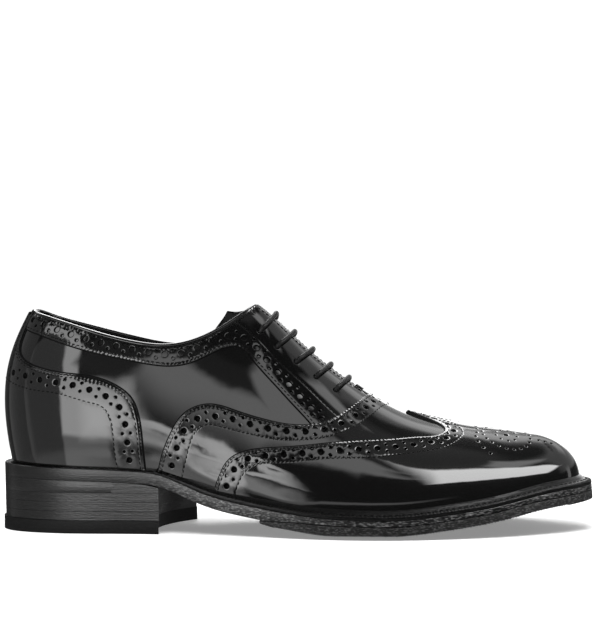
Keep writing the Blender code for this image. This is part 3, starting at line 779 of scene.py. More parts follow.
def sewing_thread():
    """Bonded polyester thread: black, with a little shine along its twist."""
    material, tree, bsdf = surface("sewing_thread", "#040404", 0.6, Specular_IOR_Level=0.1)
    place = node(tree, "ShaderNodeTexCoord").outputs["Object"]
    ply = {"Vector": place, "Scale": per_mm(1.2), "Distortion": 2.0}
    twist = node(tree, "ShaderNodeTexWave", ply).outputs["Fac"]
    tree.links.new(bumped(tree, twist, 0.4, 0.05), bsdf.inputs["Normal"])
    return material


WAVE_RADIANS = 20  # of a wave pattern's phase to one unit of its scale


def waxed_cotton():
    """Round braided cotton lace, waxed: dull black with soft slanting swells of the braid."""
    material, tree, bsdf = surface("waxed_cotton", "#070707", 0.55, Specular_IOR_Level=0.3)
    place = node(tree, "ShaderNodeTexCoord").outputs["UV"]
    strands = []
    for lean in (1.0, -1.0):
        slant = {"Vector": place, "Rotation": (0, 0, lean * math.radians(35))}
        slanted = node(tree, "ShaderNodeMapping", slant).outputs["Vector"]
        strand = {"Vector": slanted, "Scale": per_mm(1.6) / WAVE_RADIANS}
        strands.append(node(tree, "ShaderNodeTexWave", strand).outputs["Fac"])
    braid = node(tree, "ShaderNodeMath", {0: strands[0], 1: strands[1]}, operation="MAXIMUM").outputs[0]
    tree.links.new(bumped(tree, braid, 0.7, 0.15), bsdf.inputs["Normal"])
    return material


def speckled(tree, bsdf, place, dark, light, size, specks_fade_in=None):
    """Inked edge with pale grit showing through as specks, all over or only further on. On the sole the pale
    specks are partly a painted highlight. Gives the grit.
    """
    drawn_out = node(tree, "ShaderNodeMapping", {"Vector": place, "Scale": (1 / 3, 1 / 3, 1.0)}).outputs[0]
    grit = noise(tree, drawn_out, size, 2.0)
    specks = {"Value": grit, "From Min": 0.48, "From Max": 0.78}
    share = node(tree, "ShaderNodeMapRange", specks).outputs["Result"]
    if specks_fade_in is not None:
        # where asked, the pale specks, a painted highlight, fade in along the shoe: the edge is darker at
        # the heel and paler further forward
        along = node(tree, "ShaderNodeSeparateXYZ", {0: place}).outputs["X"]
        start = {"Value": along, "From Min": specks_fade_in[0], "From Max": specks_fade_in[1]}
        faded_in = node(tree, "ShaderNodeMapRange", start, interpolation_type="SMOOTHSTEP").outputs["Result"]
        share = node(tree, "ShaderNodeMath", {0: share, 1: faded_in}, operation="MULTIPLY").outputs[0]
    inks = {"Factor": share, 6: linear(dark), 7: linear(light)}
    ink = node(tree, "ShaderNodeMix", inks, data_type="RGBA").outputs[2]
    tree.links.new(ink, bsdf.inputs["Base Color"])
    return grit


def burnished_edge(name, dark, light, streak, gloss, specks_fade_in=None):
    """Edge of stacked sole leather, inked and burnished: satin black with fine streaks along the layers."""
    material, tree, bsdf = surface(name, dark, 0.45, Specular_IOR_Level=gloss)
    place = node(tree, "ShaderNodeTexCoord").outputs["Object"]
    fibre = speckled(tree, bsdf, place, dark, light, 0.6, specks_fade_in)
    along = {"Vector": place, "Scale": (1 / 40, 1 / 40, 1.0)}
    layers = noise(tree, node(tree, "ShaderNodeMapping", along).outputs[0], streak, 4.0)
    tree.links.new(ranged(tree, layers, 0.2, 0.45), bsdf.inputs["Roughness"])
    lines = bumped(tree, layers, 0.7, 0.15)
    tree.links.new(bumped(tree, fibre, 0.7, 0.2, Normal=lines), bsdf.inputs["Normal"])
    return material


def moulded_rubber(name, dark, light, gloss):
    """Moulded rubber: dull charcoal black with a fine sandy skin of paler specks."""
    material, tree, bsdf = surface(name, dark, 0.65, Specular_IOR_Level=gloss)
    place = node(tree, "ShaderNodeTexCoord").outputs["Object"]
    sand = speckled(tree, bsdf, place, dark, light, 0.5)
    tree.links.new(bumped(tree, sand, 0.5, 0.1), bsdf.inputs["Normal"])
    return material


CALF = polished_calf()
CUT = dyed_cut_edge()
LINING = lining_leather()
THREAD = sewing_thread()
COTTON = waxed_cotton()
WELT_LEATHER = burnished_edge("waxed_welt", "#060606", "#161616", 0.8, 0.15)
# the sole's pale specks are partly grit and partly a painted highlight, the light its rounded edge catches;
# they fade in from the heel seat on, so it is darker at the heel
SOLE_LEATHER = burnished_edge("burnished_sole_edge", "#080808", "#727272", 0.7, 0.35, (-0.085, -0.03))
HEEL_LEATHER = burnished_edge("burnished_heel_stack", "#060606", "#161616", 0.5, 0.4)
# the tread's pale specks, like the sole edge's, are partly grit and partly a painted highlight, the light
# its side catches
SPECKLED_RUBBER = moulded_rubber("speckled_rubber", "#0a0a0a", "#525252", 0.3)
HEEL_RUBBER = moulded_rubber("moulded_rubber", "#090909", "#141414", 0.15)


# Making meshes

def joined(points, faces):
    """First of the points that are one after rounding, and each face's corners when these are joined."""
    _, first, same = np.unique(np.round(points, ROUNDING), axis=0, return_index=True, return_inverse=True)
    same = same.reshape(-1)
    return first, [list(dict.fromkeys(same[list(face)].tolist())) for face in faces]


def weld(points, faces, *more):
    """Joined points, their faces, the faces' old numbers, and more values of the points.

    Faces that collapse are dropped, and so are two that meet back to back.
    """
    first, corners = joined(points, faces)
    twins = Counter(frozenset(c) for c in corners)
    kept = [i for i, c in enumerate(corners) if len(c) > 2 and twins[frozenset(c)] == 1]
    return points[first], [corners[i] for i in kept], kept, [m[first] for m in more]


def piece(name, points, faces, materials, nodes=(), kinds=None, normals=None, sharp=None):
    """A mesh of the shoe: it rides the body and may stand for solids."""
    mesh = bpy.data.meshes.new(name)
    mesh.from_pydata(row_frame(points).tolist(), [], [tuple(f) for f in faces])
    for material in materials:
        mesh.materials.append(material)
    if kinds is not None:
        mesh.polygons.foreach_set("material_index", np.asarray(kinds, np.int32))
    mesh.shade_smooth()
    if sharp is not None:
        mesh.set_sharp_from_angle(angle=math.radians(sharp))
    if normals is not None:
        mesh.normals_split_custom_set_from_vertices(unit(normals).tolist())
    mesh.update()
    obj = bpy.data.objects.new(name, mesh)
    bpy.context.scene.collection.objects.link(obj)
    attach(obj, "root")
    if nodes:
        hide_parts(*nodes)
    return obj


def grid_faces(rows, cols):
    """Quads of a grid of points stored row by row."""
    starts = [i * cols + j for i in range(rows - 1) for j in range(cols - 1)]
    return [(a, a + cols, a + cols + 1, a + 1) for a in starts]


def ring_faces(rings, sides):
    """Quads between closed rings of points stored one after the other."""
    faces = []
    for i in range(rings - 1):
        for j in range(sides):
            k = (j + 1) % sides
            faces.append((i * sides + j, (i + 1) * sides + j, (i + 1) * sides + k, i * sides + k))
    return faces


def end_faces(rings, sides):
    """The two faces that close a row of rings."""
    last = (rings - 1) * sides
    return [tuple(range(sides)), tuple(range(last, last + sides))[::-1]]


def turned(face):
    """The face seen from its other side, from the same corner on."""
    return face[:1] + face[:0:-1]


def walled(faces, count):
    """Faces of a sheet, of its other side and of the walls round its edges, and which of them are lined."""
    edges = {(f[i - 1], f[i]) for f in faces for i in range(len(f))}
    walls = sorted((b, a, a + count, b + count) for a, b in edges if (b, a) not in edges)
    solid = faces + [tuple(i + count for i in reversed(f)) for f in faces] + walls
    return solid, [0] * len(faces) + [1] * (len(faces) + len(walls))


def tube(path, radius, sides, tall, upward):
    """Points and faces of a cord along a path, closed at both ends. Its height is a share of its width."""
    along = unit(np.gradient(path, axis=0))
    side = unit(np.cross(along, np.broadcast_to(upward, path.shape)))[:, None]
    up = np.cross(side, along[:, None])
    angle = np.linspace(0, 2 * math.pi, sides, endpoint=False)[None, :, None]
    radius = np.broadcast_to(radius, len(path))[:, None, None]
    ring = np.cos(angle) * side + tall * np.sin(angle) * up
    points = (path[:, None] + radius * ring).reshape(-1, 3)
    return points, ring_faces(len(path), sides) + end_faces(len(path), sides)


# Lines on the last

def flat(turn_rise):
    """Places on the last as lengths on a flat pattern, near enough to true for making triangles."""
    return np.asarray(turn_rise) * (FEATHER_LENGTH / math.pi, GIRTH)


def on_last(line):
    return last_point(line[:, 0], line[:, 1])


def lengths(points):
    return np.concatenate([[0], np.cumsum(np.linalg.norm(np.diff(points, axis=0), axis=1))])


def line_of(turns, rises):
    """A line of places from turns and rises, either of which may be one value."""
    return np.stack(np.broadcast_arrays(turns, rises), -1)


def at_lengths(line, reach, at):
    """Places on a line, or its points, at some lengths along it."""
    return np.stack([np.interp(at, reach, column) for column in line.T], -1)


def spread(line, step, start=0.0, end=0.0):
    """Places along a line, about one step apart on the last, leaving out a length at each end."""
    reach = lengths(on_last(line))
    count = max(2, round((reach[-1] - start - end) / step) + 1)
    return at_lengths(line, reach, np.linspace(start, reach[-1] - end, count))


def smooth(rows):
    """Rows of stations and rises as a smooth line on the outer side."""
    stations, rises = np.array(rows, float).T
    points = line_of(-turn_at(stations), rises)
    reach = lengths(flat(points))
    at = np.linspace(0, reach[-1], SMOOTH_POINTS)
    return spread(np.stack([spline(reach, column, at) for column in points.T], -1), OUTLINE_STEP)


def far_side(line):
    """The line mirrored over the ridge, from its end back to its start."""
    return (np.array([0, 2]) + line * (1, -1))[::-1]


def over_ridge(line):
    """A line that ends on the ridge, carried on down the inner side."""
    return np.concatenate([line, far_side(line[:-1])])


def beside_to_ridge(line, distance):
    """A line that ends on the ridge, moved to its left and cut off or drawn on to the ridge again."""
    shifted = beside(line, distance)
    past = np.flatnonzero(shifted[:, 1] >= 1)
    if len(past):
        shifted = shifted[: past[0] + 1]
    a, b = shifted[-2], shifted[-1]
    share = (1 - a[1]) / (b[1] - a[1])
    shifted[-1] = a + share * (b - a)
    return shifted


def round_heel(line):
    """A line that ends at the back of the heel, carried on along the inner side."""
    return np.concatenate([line, line[-2::-1] * (-1, 1)])


def inner_side(line):
    return line * (-1, 1)


def toeward(line, distance):
    """The line moved along the foot, towards the toe."""
    return line_of(np.sign(line[:, 0]) * turn_at(station(line[:, 0]) + distance), line[:, 1])


def moved(places, sideways, distance):
    """Places moved on the last by a distance along directions in space."""
    along, up = steps_on(last_point, *places.T)
    step = sideways * np.reshape(distance, (-1, 1))
    aa, ab, bb = (along * along).sum(1), (along * up).sum(1), (up * up).sum(1)
    ra, rb = (along * step).sum(1), (up * step).sum(1)
    det = aa * bb - ab * ab
    return places + np.stack([(bb * ra - ab * rb) / det, (aa * rb - ab * ra) / det], -1)


def beside(line, distance):
    """The line moved to its left, as seen from outside the shoe."""
    run = unit(np.gradient(on_last(line), axis=0))
    return moved(line, unit(np.cross(last_normal(*line.T), run)), distance)


def chunks(count):
    """Numbers up to a count in a few runs, so that tables of distances stay small."""
    return np.array_split(np.arange(count), max(1, count // CHUNK))


def inside(points, outline):
    """Which points lie inside a closed outline."""
    a, b = outline, np.roll(outline, -1, axis=0)
    found = np.zeros(len(points), bool)
    for part in chunks(len(points)):
        x, y = points[part, :1], points[part, 1:]
        crosses = (a[:, 1] > y) != (b[:, 1] > y)
        with np.errstate(divide="ignore", invalid="ignore"):
            at = a[:, 0] + (y - a[:, 1]) * (b[:, 0] - a[:, 0]) / (b[:, 1] - a[:, 1])
        found[part] = (crosses & (x < at)).sum(1) % 2 == 1
    return found


def away(points, line):
    """Distance of each point from a line in space."""
    spots = points.reshape(-1, 3)
    start, run = line[:-1], np.diff(line, axis=0)
    square = np.maximum((run * run).sum(1), 1e-9)
    found = np.empty(len(spots))
    for part in chunks(len(spots)):
        rel = spots[part, None] - start[None]
        share = np.clip((rel * run[None]).sum(2) / square, 0, 1)
        found[part] = np.sqrt(((rel - share[..., None] * run[None]) ** 2).sum(2).min(1))
    return found.reshape(points.shape[:-1])


# Relief of the leather

CREASE_LINES = [
    (last_point(side * turn_at(a[0]), a[1]), last_point(side * turn_at(b[0]), b[1]), width, depth)
    for a, b, width, depth in CREASES
    for side in (-1, 1)
]


def creased(points):
    """How far the leather stands out at its soft creases: troughs that die out, with ridges beside them."""
    total = np.zeros(points.shape[:-1])
    for start, end, width, depth in CREASE_LINES:
        run = end - start
        share = np.clip(((points - start) * run).sum(-1) / (run * run).sum(), 0, 1)
        near = np.linalg.norm(points - start - share[..., None] * run, axis=-1) / width
        total -= depth * np.sin(math.pi * share) * (1 - near**2) * np.exp(-(near**2))
    return total


def relief(level, rolls=(), seams=(), holes=(), peak=None):
    """Height of a panel over the last, with round edges, sunk seams, rims of holes and a raised tip."""
    rolls = [(on_last(line), drop, width) for line, (drop, width) in rolls]
    seams = [on_last(line) for line in seams]
    if len(holes):
        centres, radii = on_last(holes), holes[:, 2]

    def height(points):
        total = level + creased(points)
        for line, drop, width in rolls:
            total = total - drop * np.clip(1 - away(points, line) / width, 0, 1) ** BEVEL
        for line in seams:
            total = total - SEAM_DEPTH * np.exp(-((away(points, line) / SEAM_WIDTH) ** 2))
        if len(holes):
            drop, width = HOLE_ROUND
            gaps = np.linalg.norm(points[..., None, :] - centres, axis=-1) - radii
            total = total - drop * np.clip(1 - gaps.min(-1) / width, 0, 1) ** 2
        if peak is not None:
            lift, reach = PEAK_LIFT
            total = total + lift * np.exp(-((np.linalg.norm(points - peak, axis=-1) / reach) ** 2))
        return total

    return height


def lifted(height):
    """Surface at a height over the last."""
    def surface_at(turn, rise):
        base = last_point(turn, rise)
        return base + height(base)[..., None] * last_normal(turn, rise)

    return surface_at


def lifted_normal(height, turn, rise):
    along, up = steps_on(lifted(height), turn, rise)
    return unit(np.cross(up, along))


# Panels

def circle(place, radius, sides):
    """Places on a circle round a place on the last."""
    angle = np.linspace(0, 2 * math.pi, sides, endpoint=False)
    places = np.repeat(place[None, :2], sides, axis=0)
    along, up = steps_on(last_point, place[0], place[1])
    first = unit(along)
    second = unit(up - (up * first).sum() * first)
    return moved(places, np.cos(angle)[:, None] * first + np.sin(angle)[:, None] * second, radius)


def hole_sides(radius):
    return HOLE_SIDES if radius > 1 else FINE_HOLE_SIDES


def filling(outline):
    """Evenly spread places inside an outline, on the flat pattern."""
    edge = flat(outline)
    low, high = edge.min(0), edge.max(0)
    spots = []
    for i, y in enumerate(np.arange(low[1] + FILL_STEP / 2, high[1], FILL_STEP * math.sqrt(0.75))):
        row = np.arange(low[0] + FILL_STEP / 2 * (i % 2), high[0], FILL_STEP)
        spots.append(line_of(row, y))
    spots = np.concatenate(spots)
    return spots[inside(spots, edge)] / flat((1, 1))


def clear_of(places, others, distance):
    """The places that keep a distance from all others on the flat pattern."""
    spots, rest = flat(places), flat(others)
    keep = np.ones(len(spots), bool)
    for part in chunks(len(spots)):
        keep[part] = ((spots[part, None] - rest[None]) ** 2).sum(2).min(1) > distance**2
    return places[keep]


def counter_clockwise(outline):
    edge = flat(outline)
    x, y = edge[:, 0], edge[:, 1]
    area = (x * np.roll(y, -1) - np.roll(x, -1) * y).sum()
    return outline if area > 0 else outline[::-1]


def triangles(outline, holes, spare):
    """Places and triangles of an outline with holes, and where the loops' points went."""
    loops = [outline, *holes]
    places = np.concatenate(loops + [spare])
    edges, first = [], 0
    for loop in loops:
        edges += [(first + i, first + (i + 1) % len(loop)) for i in range(len(loop))]
        first += len(loop)
    made = delaunay_2d_cdt([Vector(p) for p in flat(places)], edges, [], 2, 1e-5)
    found = np.array([tuple(p) for p in made[0]]) / flat((1, 1))
    where = {old: new for new, olds in enumerate(made[3]) for old in olds}
    index, first = [], 0
    for loop in loops:
        index.append([where[first + i] for i in range(len(loop))])
        first += len(loop)
    owner = {i: number for number, loop in enumerate(index[1:]) for i in loop}
    faces = []
    for face in made[2]:
        owners = {owner.get(i) for i in face}
        if None in owners or len(owners) > 1:
            faces.append(tuple(face))
    return found, faces, index


def panel(name, node_name, outline, height, foot, shown, rows, holes):
    """A leather panel with a pit for each hole. Its cut edge slopes out along the edges that show."""
    outline = counter_clockwise(outline)
    circles = [circle(h, h[2], hole_sides(h[2])) for h in holes]
    rims = [circle(h, h[2] + HOLE_ROUND[1], hole_sides(h[2])) for h in holes]

    def outside_rims(places):
        for rim in rims:
            places = places[~inside(flat(places), flat(rim))]
        return places

    guides = np.concatenate([outline] + circles + rims)
    kept = [clear_of(r[inside(flat(r), flat(outline))], guides, ROW_CLEAR) for r in rows]
    kept = outside_rims(np.concatenate(kept))
    fill = clear_of(filling(outline), np.concatenate([guides, kept]), FILL_STEP * FILL_CLEAR)
    spare = np.concatenate([kept, *rims, outside_rims(fill)])
    places, faces, index = triangles(outline, circles, spare)

    top, normals = lifted(height)(*places.T), lifted_normal(height, *places.T)
    points, directions = [top], [normals]
    faces = [f[::-1] for f in faces]
    kinds = [0] * len(faces)
    count = len(top)

    edge = index[0]
    run = unit(np.roll(top[edge], -1, axis=0) - np.roll(top[edge], 1, axis=0))
    out = unit(np.cross(normals[edge], run))
    seen = np.min([away(on_last(places[edge]), on_last(line)) for line in shown], axis=0) < ON_LINE
    foot_line = moved(places[edge], out, CUT_SLOPE * seen)
    base = on_last(foot_line)
    points.append(base + (foot + creased(base))[:, None] * last_normal(*foot_line.T))
    directions.append(unit(out + CUT_SHADING * seen[:, None] * normals[edge]))
    sides = len(edge)
    for i in range(sides):
        j = (i + 1) % sides
        faces.append((edge[i], edge[j], count + j, count + i))

    thinned = clear_of(filling(outline), outline, FILL_STEP)[::UNDER_THINNED]
    under, under_faces, under_index = triangles(outline, [], thinned)
    spare = np.setdiff1d(np.arange(len(under)), under_index[0])
    position = {old: count + i for i, old in enumerate([*under_index[0], *spare])}
    base, outward = on_last(under[spare]), last_normal(*under[spare].T)
    points.append(base + (foot + creased(base))[:, None] * outward)
    directions.append(-outward)
    faces += [tuple(position[i] for i in f) for f in under_faces]
    count += sides + len(spare)

    for loop, hole in zip(index[1:], holes):
        middle, axis = lifted(height)(*hole[:2]), last_normal(*hole[:2])
        ring = top[loop]
        floor = middle - HOLE_DEPTH * axis
        points += [floor + HOLE_TAPER * (ring - middle), floor[None]]
        directions += [unit(middle - ring), axis[None]]
        sides = len(loop)
        for i in range(sides):
            j = (i + 1) % sides
            faces.append((loop[j], loop[i], count + i, count + j))
            faces.append((count + j, count + i, count + sides))
        count += sides + 1

    kinds = np.array(kinds + [1] * (len(faces) - len(kinds)))
    points, faces, kept, (directions,) = weld(np.concatenate(points), faces, np.concatenate(directions))
    piece(name, points, faces, [CALF, CUT], [node_name], kinds[kept], directions)


def edge_rows(line, offsets):
    """Rows of places beside a line, which carry the curve of its edge or seam."""
    return [spread(beside(line, d) if d else line, ROW_STEP) for d in offsets]


def between(line, other):
    """The line midway between two lines that run side by side."""
    pair = []
    for each in (line, other):
        reach = lengths(on_last(each))
        pair.append(at_lengths(each, reach, np.linspace(0, reach[-1], BETWEEN_POINTS)))
    return (pair[0] + pair[1]) / 2


def punched(line, start=BAND_END, end=BAND_END, pitch=HOLE_PITCH):
    """Large holes along a line, with a pair of small ones across it between each two."""
    large = spread(line, pitch, start, end)
    reach = lengths(on_last(line))
    at = np.linspace(start, reach[-1] - end, 2 * len(large) - 1)[1::2]
    middles, ahead = (at_lengths(line, reach, at + d) for d in (0, AHEAD))
    run = unit(on_last(ahead) - on_last(middles))
    left = unit(np.cross(last_normal(*middles.T), run))
    found = [np.column_stack([large, np.full(len(large), LARGE_HOLE)])]
    for side in (-1, 1):
        small = moved(middles, left, side * SMALL_APART)
        found.append(np.column_stack([small, np.full(len(small), SMALL_HOLE)]))
    return np.concatenate(found)


def clear_holes(holes, outline):
    """The holes that lie clear of a panel's edge."""
    edge = on_last(np.concatenate([outline, outline[:1]]))
    return holes[away(on_last(holes), edge) > holes[:, 2] + HOLE_ROUND[1]]


STITCHED = []  # lines with the height of the leather that they are sewn into


def sew(seams, height):
    """Notes the seams for stitching, and gives the rows of points that carry them."""
    STITCHED.extend((line, height) for line in seams)
    return [row for line in seams for row in edge_rows(line, SEAM_OFFSETS)]


def make_counter():
    """Outside counter round the heel, with its tail up the back seam."""
    line = smooth(COUNTER_EDGE)
    up, over, around = COUNTER_POINTS
    tail = line[-1, 0]
    rim = top_rise(np.array([tail]))[0] - COUNTER_BELOW_TOP
    climb = line_of(tail, np.linspace(line[-1, 1], rim, up))[1:]
    top = line_of(np.linspace(tail, 0, over), rim)[1:]
    edge = np.concatenate([line, climb])
    foot = line_of(np.linspace(-edge[0, 0], edge[0, 0], around), edge[0, 1])
    foot = spread(foot, OUTLINE_STEP)[1:-1]
    outline = np.concatenate([edge, top, inner_side(edge[::-1]), foot])
    apart = np.linalg.norm(np.diff(flat(outline), axis=0), axis=1) > ONE_POINT
    outline = outline[np.r_[True, apart]]
    edges = [edge, inner_side(edge)]
    seams = [round_heel(smooth(COUNTER_SEAM))]
    seams += [beside(edges[0], EDGE_TO_SEAM), beside(edges[1], -EDGE_TO_SEAM)]
    band = round_heel(between(smooth(COUNTER_BAND), smooth(COUNTER_SEAM)))
    holes = clear_holes(punched(band, COUNTER_BAND_END, COUNTER_BAND_END), outline)
    height = relief(COUNTER_LEVEL, [(line, CUT_EDGE) for line in edges], seams, holes)
    rows = edge_rows(edges[0], EDGE_OFFSETS) + edge_rows(edges[1], [-d for d in EDGE_OFFSETS])
    rows += sew(seams, height)
    panel("counter_leather", "heel_counter", outline, height, PANEL_FOOT, edges, rows, holes)


def front_panel(name, node_name, line, seam_rows, outline, level, foot, more_holes=(), peak=None):
    """A panel whose back edge crosses the ridge, with two seams beside it and holes between them."""
    back, seam = over_ridge(line), smooth(seam_rows)
    seams = [over_ridge(beside_to_ridge(line, -EDGE_TO_SEAM)), over_ridge(seam)]
    holes = np.concatenate([punched(over_ridge(between(line, seam))), *more_holes])
    holes = clear_holes(holes, outline)
    height = relief(level, [(back, CUT_EDGE)], seams, holes, peak)
    rows = [spread(over_ridge(beside_to_ridge(line, -d)), ROW_STEP) for d in EDGE_OFFSETS]
    rows += sew(seams, height)
    panel(name, node_name, outline, height, foot, [back], rows, holes)


def make_vamp():
    """Vamp from the throat to the wing cap, which laps over its front."""
    line = smooth(VAMP_EDGE)
    front = toeward(smooth(WING_EDGE), UNDERLAP)
    foot = spread(np.array([front[0], line[0]]), OUTLINE_STEP)[1:-1]
    outline = np.concatenate([foot, over_ridge(line), far_side(foot), over_ridge(front)[::-1]])
    front_panel("vamp_leather", "vamp", line, VAMP_SEAM, outline, VAMP_LEVEL, PANEL_FOOT)


def medallion():
    """Holes of the toe's medallion as places on the last with radii."""
    centre_x, centre_y = MEDALLION_CENTRE
    dots = [(0.0, 0.0, LARGE_HOLE * MIDDLE_HOLE)]
    for long, wide, number, radius in (MEDALLION_RING, MEDALLION_HEART):
        for angle in np.linspace(0, 2 * math.pi, number, endpoint=False):
            dots.append((long * math.cos(angle), wide * math.sin(angle), radius))
    for along, across in MEDALLION_SPRAY:
        dots += [(along, across, SMALL_HOLE), (along, -across, SMALL_HOLE)]
    dots += [(along, 0.0, STEM_HOLE) for along in MEDALLION_STEM]
    found = []
    for along, across, radius in dots:
        x = centre_x + along - across * MEDALLION_TURN
        y = centre_y + across + along * MEDALLION_TURN
        found.append((*place_above(x, y), radius))
    return np.array(found)


def place_above(x, y):
    """Place on the outer chart of the last that lies over a point of the plan."""
    rise = 0.9 if y < ridge_point(np.array(x))[1] else 1.1
    place = np.array([-turn_at(x + SEARCH_AHEAD), rise])
    for _ in range(SEARCH_ROUNDS):
        missing = np.array([x, y]) - last_point(*place)[:2]
        along, up = steps_on(last_point, *place)
        step = np.linalg.lstsq(np.stack([along[:2], up[:2]], 1), missing, rcond=None)[0]
        place = place + np.clip(step, -SEARCH_REACH, SEARCH_REACH)
    return place


def make_wing_cap():
    """Wing-tip toe cap: its wings run back along both sides, and a medallion is punched in the toe."""
    line = smooth(WING_EDGE)
    low = line[0, 1]
    foot = spread(np.array([[-math.pi, low], line[0]]), OUTLINE_STEP)
    nose = line_of(-math.pi, np.linspace(2 - low, low, NOSE_POINTS))
    outline = np.concatenate([over_ridge(line), far_side(foot)[1:], nose[1:], foot[1:-1]])
    front_panel(
        "wing_cap_leather", "wing_cap", line, WING_SEAM, outline, WING_LEVEL, WING_FOOT,
        [medallion()], last_point(*line[-1]),
    )


def make_facings():
    """Facing and collar band of each side, with eyelets punched along the throat."""
    edge = smooth(FACING_EDGE)
    vamp = toeward(smooth(VAMP_EDGE), UNDERLAP)
    vamp = vamp[(vamp[:, 0] < edge[0, 0]) & (vamp[:, 1] > edge[0, 1])]
    turns = np.linspace(edge[-1, 0], -turn_at(FACING_END), TOP_EDGE_POINTS)
    eyelets = [(-turn_at(eyelet), rise, EYELET_RADIUS) for _, eyelet, rise in LACE_BARS]
    for side, name in ((-1, "outer"), (1, "inner")):
        top = line_of(turns, top_rise(-side * turns) - FACING_BELOW_TOP / GIRTH)
        top = spread(top, OUTLINE_STEP)
        low = edge - line_of(0, top_rise(edge[:, 0]) - top_rise(-side * edge[:, 0]))
        outline = np.concatenate([low, top, vamp[vamp[:, 1] < top[-1, 1]][::-1]])
        seams = [beside(low, -FACING_TO_SEAM), smooth(FACING_SEAM), beside(top, -TOP_TO_SEAM)]
        band = beside(low, -BAND_MIDDLE)
        band = band[band[:, 0] > -turn_at(FACING_BAND_FRONT)]
        holes = np.concatenate([punched(band, *FACING_BAND_ENDS, FACING_PITCH), eyelets])
        flip = np.array([-side, 1, 1])
        outline, top, low, *seams = (line * flip[:2] for line in (outline, top, low, *seams))
        holes = clear_holes(holes * flip, outline)
        height = relief(FACING_LEVEL, [(low, SKIVED_EDGE), (top, FOLDED_EDGE)], seams, holes)
        rows = edge_rows(low, [side * d for d in EDGE_OFFSETS])
        rows += edge_rows(top, [side * d for d in FOLD_OFFSETS])
        rows += sew(seams, height)
        panel(f"facing_{name}", f"eyestay_{name}", outline, height, PANEL_FOOT, [low], rows, holes)


def make_quarters():
    """Quarters and lining: one hollow wall, open underneath, at the top line and along the throat."""
    around, up = QUARTER_GRID
    turns = np.linspace(-math.pi, math.pi, around, endpoint=False)
    rises = np.linspace(0, 1, up)[None, :] * top_rise(turns)[:, None]
    turns, rises = (a.reshape(-1) for a in np.broadcast_arrays(turns[:, None], rises))
    height = relief(0.0)
    outer, normals = lifted(height)(turns, rises), lifted_normal(height, turns, rises)
    inner = outer - QUARTER_WALL * normals
    faces = [tuple(i % (around * up) for i in reversed(f)) for f in grid_faces(around + 1, up)]
    first, corners = joined(outer, faces)
    solid, kinds = walled([c for c in corners if len(c) > 2], len(first))
    points = np.concatenate([outer[first], inner[first]])
    directions = np.concatenate([normals[first], -normals[first]])
    materials = [CALF, LINING]
    piece("quarters_and_lining", points, solid, materials, ["upper"], kinds, directions)


def make_top_fold():
    """Folded edge that closes leather and lining along the top line and down both facings."""
    turns = np.linspace(-turn_at(FACING_END), turn_at(FACING_END), FOLD_POINTS)
    rises = top_rise(turns)
    base, normal = last_point(turns, rises), last_normal(turns, rises)
    middle = (FACING_LEVEL - QUARTER_WALL) / 2 - FOLD_SUNK
    path = base + (middle + creased(base))[:, None] * normal
    inward = unit(np.cross(unit(np.gradient(path, axis=0)), normal))
    points, faces = tube(path, FOLD_RADIUS, FOLD_SIDES, FOLD_TALL, inward)
    piece("top_fold", points, faces, [CALF], sharp=SHARP_CORD)


def make_stitching():
    """All the upper's stitches as one mesh of short slanted threads."""
    share = np.linspace(-1, 1, STITCH_RINGS)
    swell = np.sqrt(np.maximum(1 - share**4, STITCH_BLUNT))
    rise = STITCH_RADIUS * STITCH_PROUD - STITCH_DIP * share**4
    angle = np.linspace(0, 2 * math.pi, STITCH_SIDES, endpoint=False)[:, None]
    shell = [turned(f) for f in ring_faces(STITCH_RINGS, STITCH_SIDES)]
    shell += [f[::-1] for f in end_faces(STITCH_RINGS, STITCH_SIDES)]
    points, faces = [], []
    for line, height in STITCHED:
        spots = spread(line, STITCH_PITCH, STITCH_PITCH / 2, STITCH_PITCH / 2)
        base, normal = lifted(height)(*spots.T), last_normal(*spots.T)
        run = unit(np.gradient(base, axis=0))
        run = unit(run + STITCH_SLANT * np.cross(normal, run))
        left = np.cross(normal, run)
        for here, n, r, s in zip(base, normal, run, left):
            first = len(points) * STITCH_SIDES
            ring = np.cos(angle) * s + np.sin(angle) * n
            for along, wide, up in zip(share, swell, rise):
                points.append(here + r * along * STITCH_LENGTH / 2 + n * up + STITCH_RADIUS * wide * ring)
            faces += [tuple(first + i for i in f) for f in shell]
    piece("upper_stitching", np.concatenate(points), faces, [THREAD])


def make_tongue():
    """Tongue under the facings, with its free top sagging into the opening."""
    along, wide = TONGUE_GRID
    across = np.linspace(-1, 1, wide)[None, :]
    reach, late = TONGUE_SWEEP
    x = TONGUE_TOP - reach * across**2 / (across**2 + late)
    x = x + (TONGUE_END - x) * np.linspace(0, 1, along)[:, None]
    sag = TONGUE_SAG * (1 - ease(x, TONGUE_TOP, TONGUE_SAG_END))
    turns, rises = np.broadcast_arrays(-turn_at(x), 1 + TONGUE_SPREAD * across)
    base, normal = last_point(turns, rises), last_normal(turns, rises)
    base = base - sag[..., None] * (0, 0, 1)
    depth = QUARTER_WALL + TONGUE_GAP
    sheets = [(base - (depth + thick) * normal).reshape(-1, 3) for thick in (0, TONGUE_THICK)]
    solid, kinds = walled(grid_faces(along, wide), along * wide)
    points = np.concatenate(sheets)
    materials = [CALF, LINING]
    piece("tongue_leather", points, solid, materials, ["tongue"], kinds, sharp=SHARP_LEATHER)


